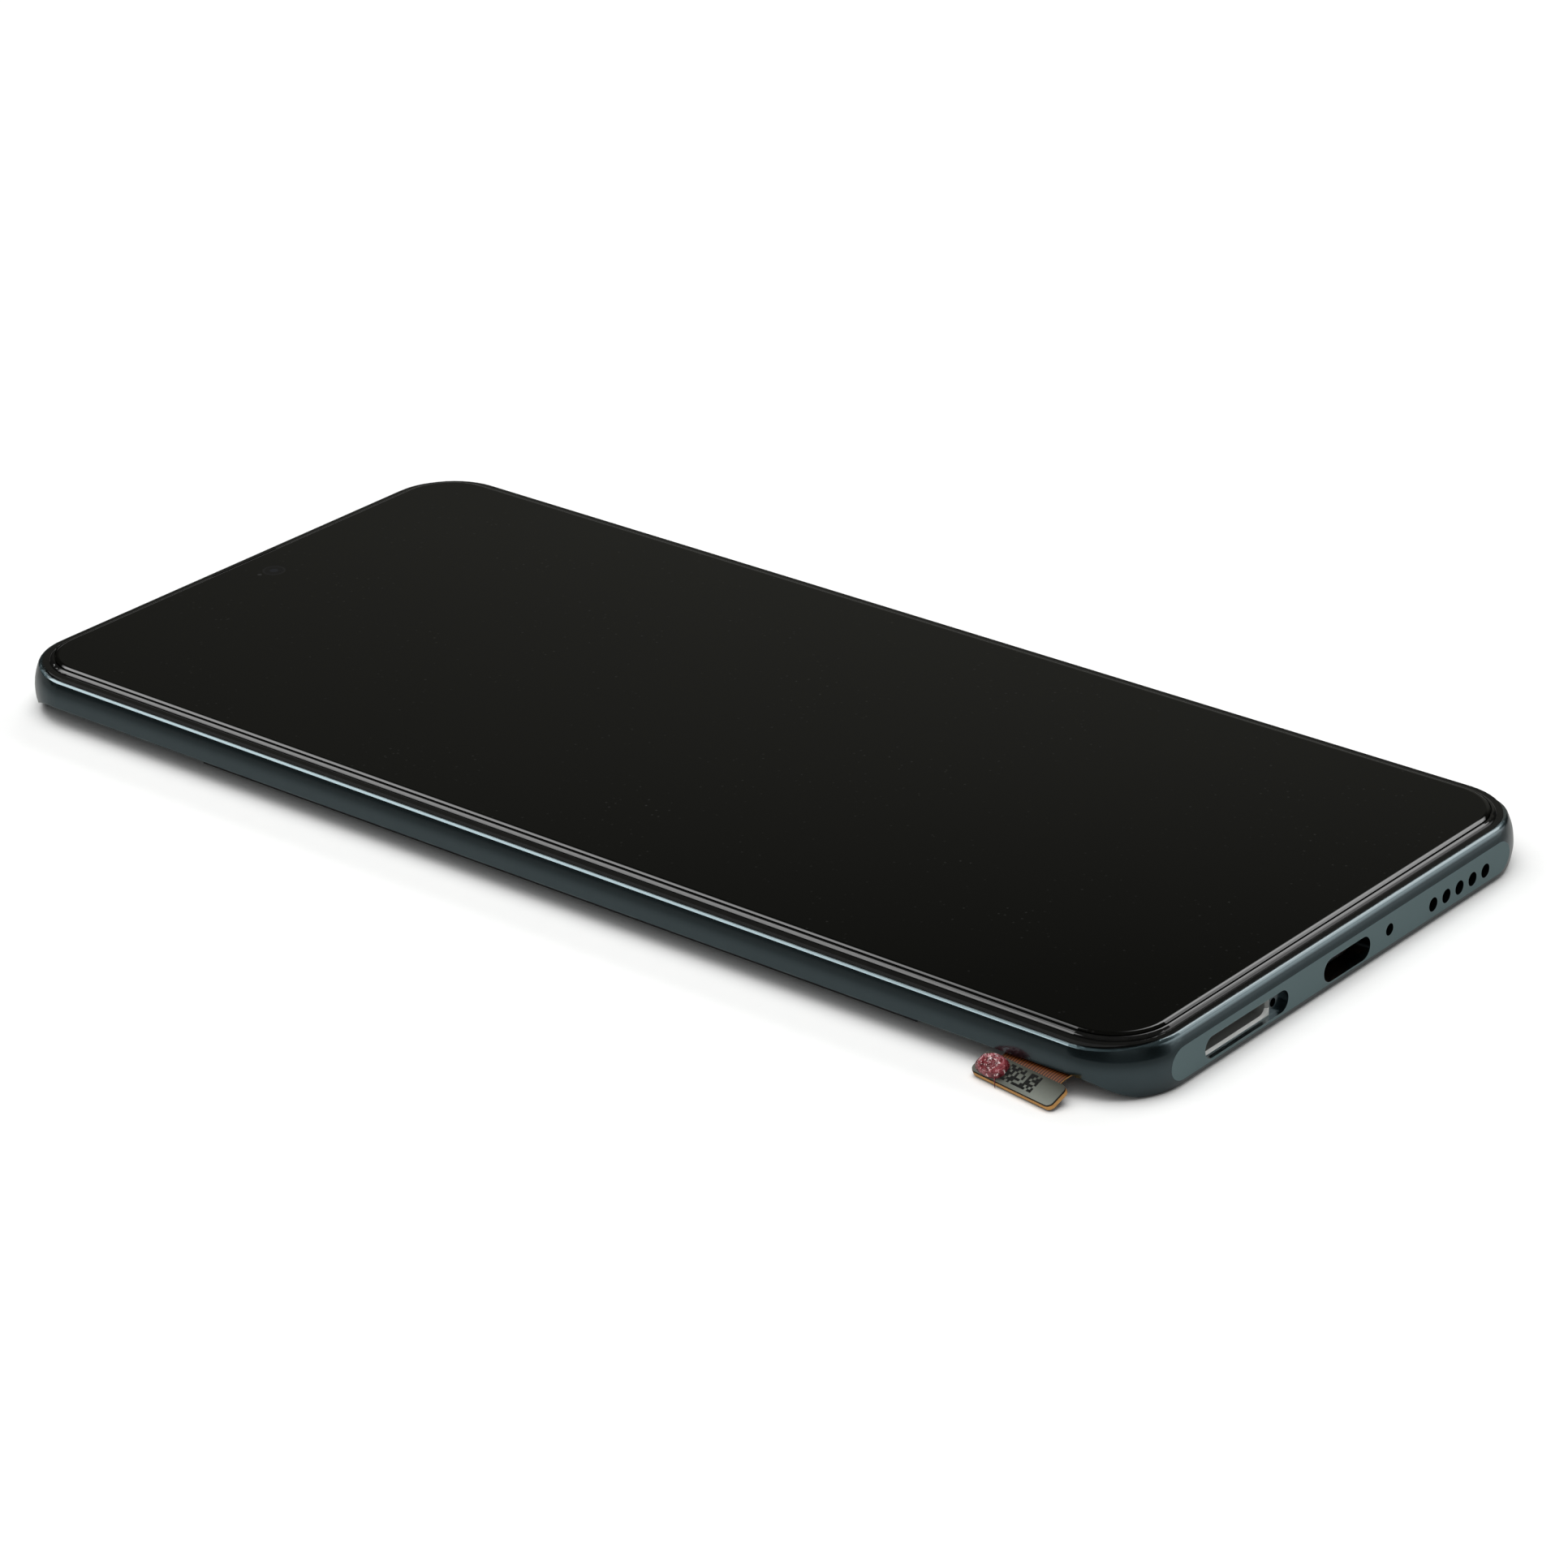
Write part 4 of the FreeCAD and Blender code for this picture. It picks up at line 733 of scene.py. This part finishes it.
def field_tree():
    tree = bpy.data.node_groups.new("box_field", "GeometryNodeTree")
    sockets = {}
    for label, kind in FIELD_INPUTS:
        socket = tree.interface.new_socket(label, in_out="INPUT", socket_type="NodeSocket" + kind)
        sockets[label] = socket.identifier
    tree.interface.new_socket("Mesh", in_out="OUTPUT", socket_type="NodeSocketGeometry")
    given = tree.nodes.new("NodeGroupInput").outputs

    def reach(count, pitch):
        return compute(tree, "MULTIPLY", compute(tree, "SUBTRACT", given[count], 1.0), given[pitch])

    grid = add(tree, "GeometryNodeMeshGrid", {
        "Size X": reach("Columns", "Pitch X"), "Size Y": reach("Rows", "Pitch Y"),
        "Vertices X": given["Columns"], "Vertices Y": given["Rows"]})
    chosen = add(tree, "FunctionNodeRandomValue", {"Probability": given["Share"], "Seed": given["Seed"]},
                 data_type="BOOLEAN")
    box = add(tree, "GeometryNodeMeshCube", {"Size": given["Box"]})
    placed = add(tree, "GeometryNodeInstanceOnPoints", {
        "Points": grid.outputs["Mesh"], "Instance": box.outputs["Mesh"], "Selection": chosen.outputs[3]})
    real = add(tree, "GeometryNodeRealizeInstances", {0: placed.outputs[0]})
    done = add(tree, "GeometryNodeSetMaterial", {"Geometry": real.outputs[0], "Material": given["Finish"]})
    add(tree, "NodeGroupOutput", {0: done.outputs[0]})
    return tree, sockets


FIELD, FIELD_SOCKETS = field_tree()
print("box_field nodes:", len(FIELD.nodes))


# %% A field as a plain mesh
def tail_place(centre):
    turn = Matrix((tail_x, tail_y, tail_n)).transposed().to_4x4()
    return Matrix.Translation(centre) @ turn


def field_piece(name, place, finish, slot, **values):
    carrier = bpy.data.objects.new(name, bpy.data.meshes.new(name))
    bpy.context.scene.collection.objects.link(carrier)
    modifier = carrier.modifiers.new("field", "NODES")
    modifier.node_group = FIELD
    for label, value in {**values, "Finish": finish}.items():
        modifier[FIELD_SOCKETS[label.replace("_", " ")]] = value
    ready = carrier.evaluated_get(bpy.context.evaluated_depsgraph_get())
    mesh = bpy.data.meshes.new_from_object(ready)
    carrier.modifiers.clear()
    mesh.transform(place)
    carrier.data = mesh
    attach(carrier, "root")
    print(name, "faces:", len(mesh.polygons))


print("sockets by name:", list(FIELD_SOCKETS))

# %% [markdown]
# ## The printed code
# A square-dot code is ink on steel. A picture could carry it, but a field of thin squares needs no image
# and can be a random pattern that means nothing. The ink is matt and slightly worn.

# %% Printed code
CODE_AT = (0.35, 0.1, 0)
CODE_DOT = 0.31 * MM
CODE_FILL = 0.97
CODE_INK = 0.012 * MM
print_ink, tree, bsdf = finish_of("code_ink", {"Specular IOR Level": 0.15})
worn_print = place_effect(tree, mottle, Scale=4000.0, Contrast=0.6)
blend_color(tree, worn_print["Mask"], (0.004, 0.004, 0.004), (0.014, 0.014, 0.013), bsdf)
spread(tree, worn_print["Mask"], 0.75, 0.9, bsdf.inputs["Roughness"])
field_piece("printed_code", tail_place(on_tail(*CODE_AT) + tail_n * CODE_INK / 4), print_ink, "ink_black",
            Columns=14, Rows=7, Pitch_X=CODE_DOT, Pitch_Y=CODE_DOT,
            Box=(CODE_DOT * CODE_FILL, CODE_DOT * CODE_FILL, CODE_INK), Share=0.62, Seed=5)

# %% [markdown]
# ## The plug's contacts
# The plug under the tail meets its socket with two rows of gilt contacts. They are the same field again
# with nothing left out, so the code's tree makes them too, with a rubbed gilt as their finish.

# %% Contacts of the plug
CONTACT_PITCH, ROW_PITCH = 0.4 * MM, 1.3 * MM
CONTACT_BOX = (0.18 * MM, 0.5 * MM, 0.06 * MM)
PLUG_HALF = 0.2 * MM
gilt, tree, bsdf = finish_of("contact_gilt", {"Metallic": 1.0})
wiped = place_effect(tree, mottle, Scale=3000.0, Contrast=0.6)
blend_color(tree, wiped["Mask"], (0.62, 0.42, 0.14), (0.78, 0.56, 0.24), bsdf)
spread(tree, wiped["Mask"], 0.2, 0.35, bsdf.inputs["Roughness"])
low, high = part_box("board_connector")
field_piece("plug_contacts", tail_place((low + high) / 2 - tail_n * PLUG_HALF), gilt, "tray_steel",
            Columns=22, Rows=2, Pitch_X=CONTACT_PITCH, Pitch_Y=ROW_PITCH, Box=CONTACT_BOX, Share=1.0, Seed=0)

# %% [markdown]
# ## Last step
# The bounds of the solids and of the dressed model are compared, and one line prints whether they still
# agree to within 1 mm.

# %% Sizes and finish
low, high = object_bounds()
print("size kept:", max(abs(a - b) for a, b in zip([*low, *high], [*cad_low, *cad_high])) < 0.001)
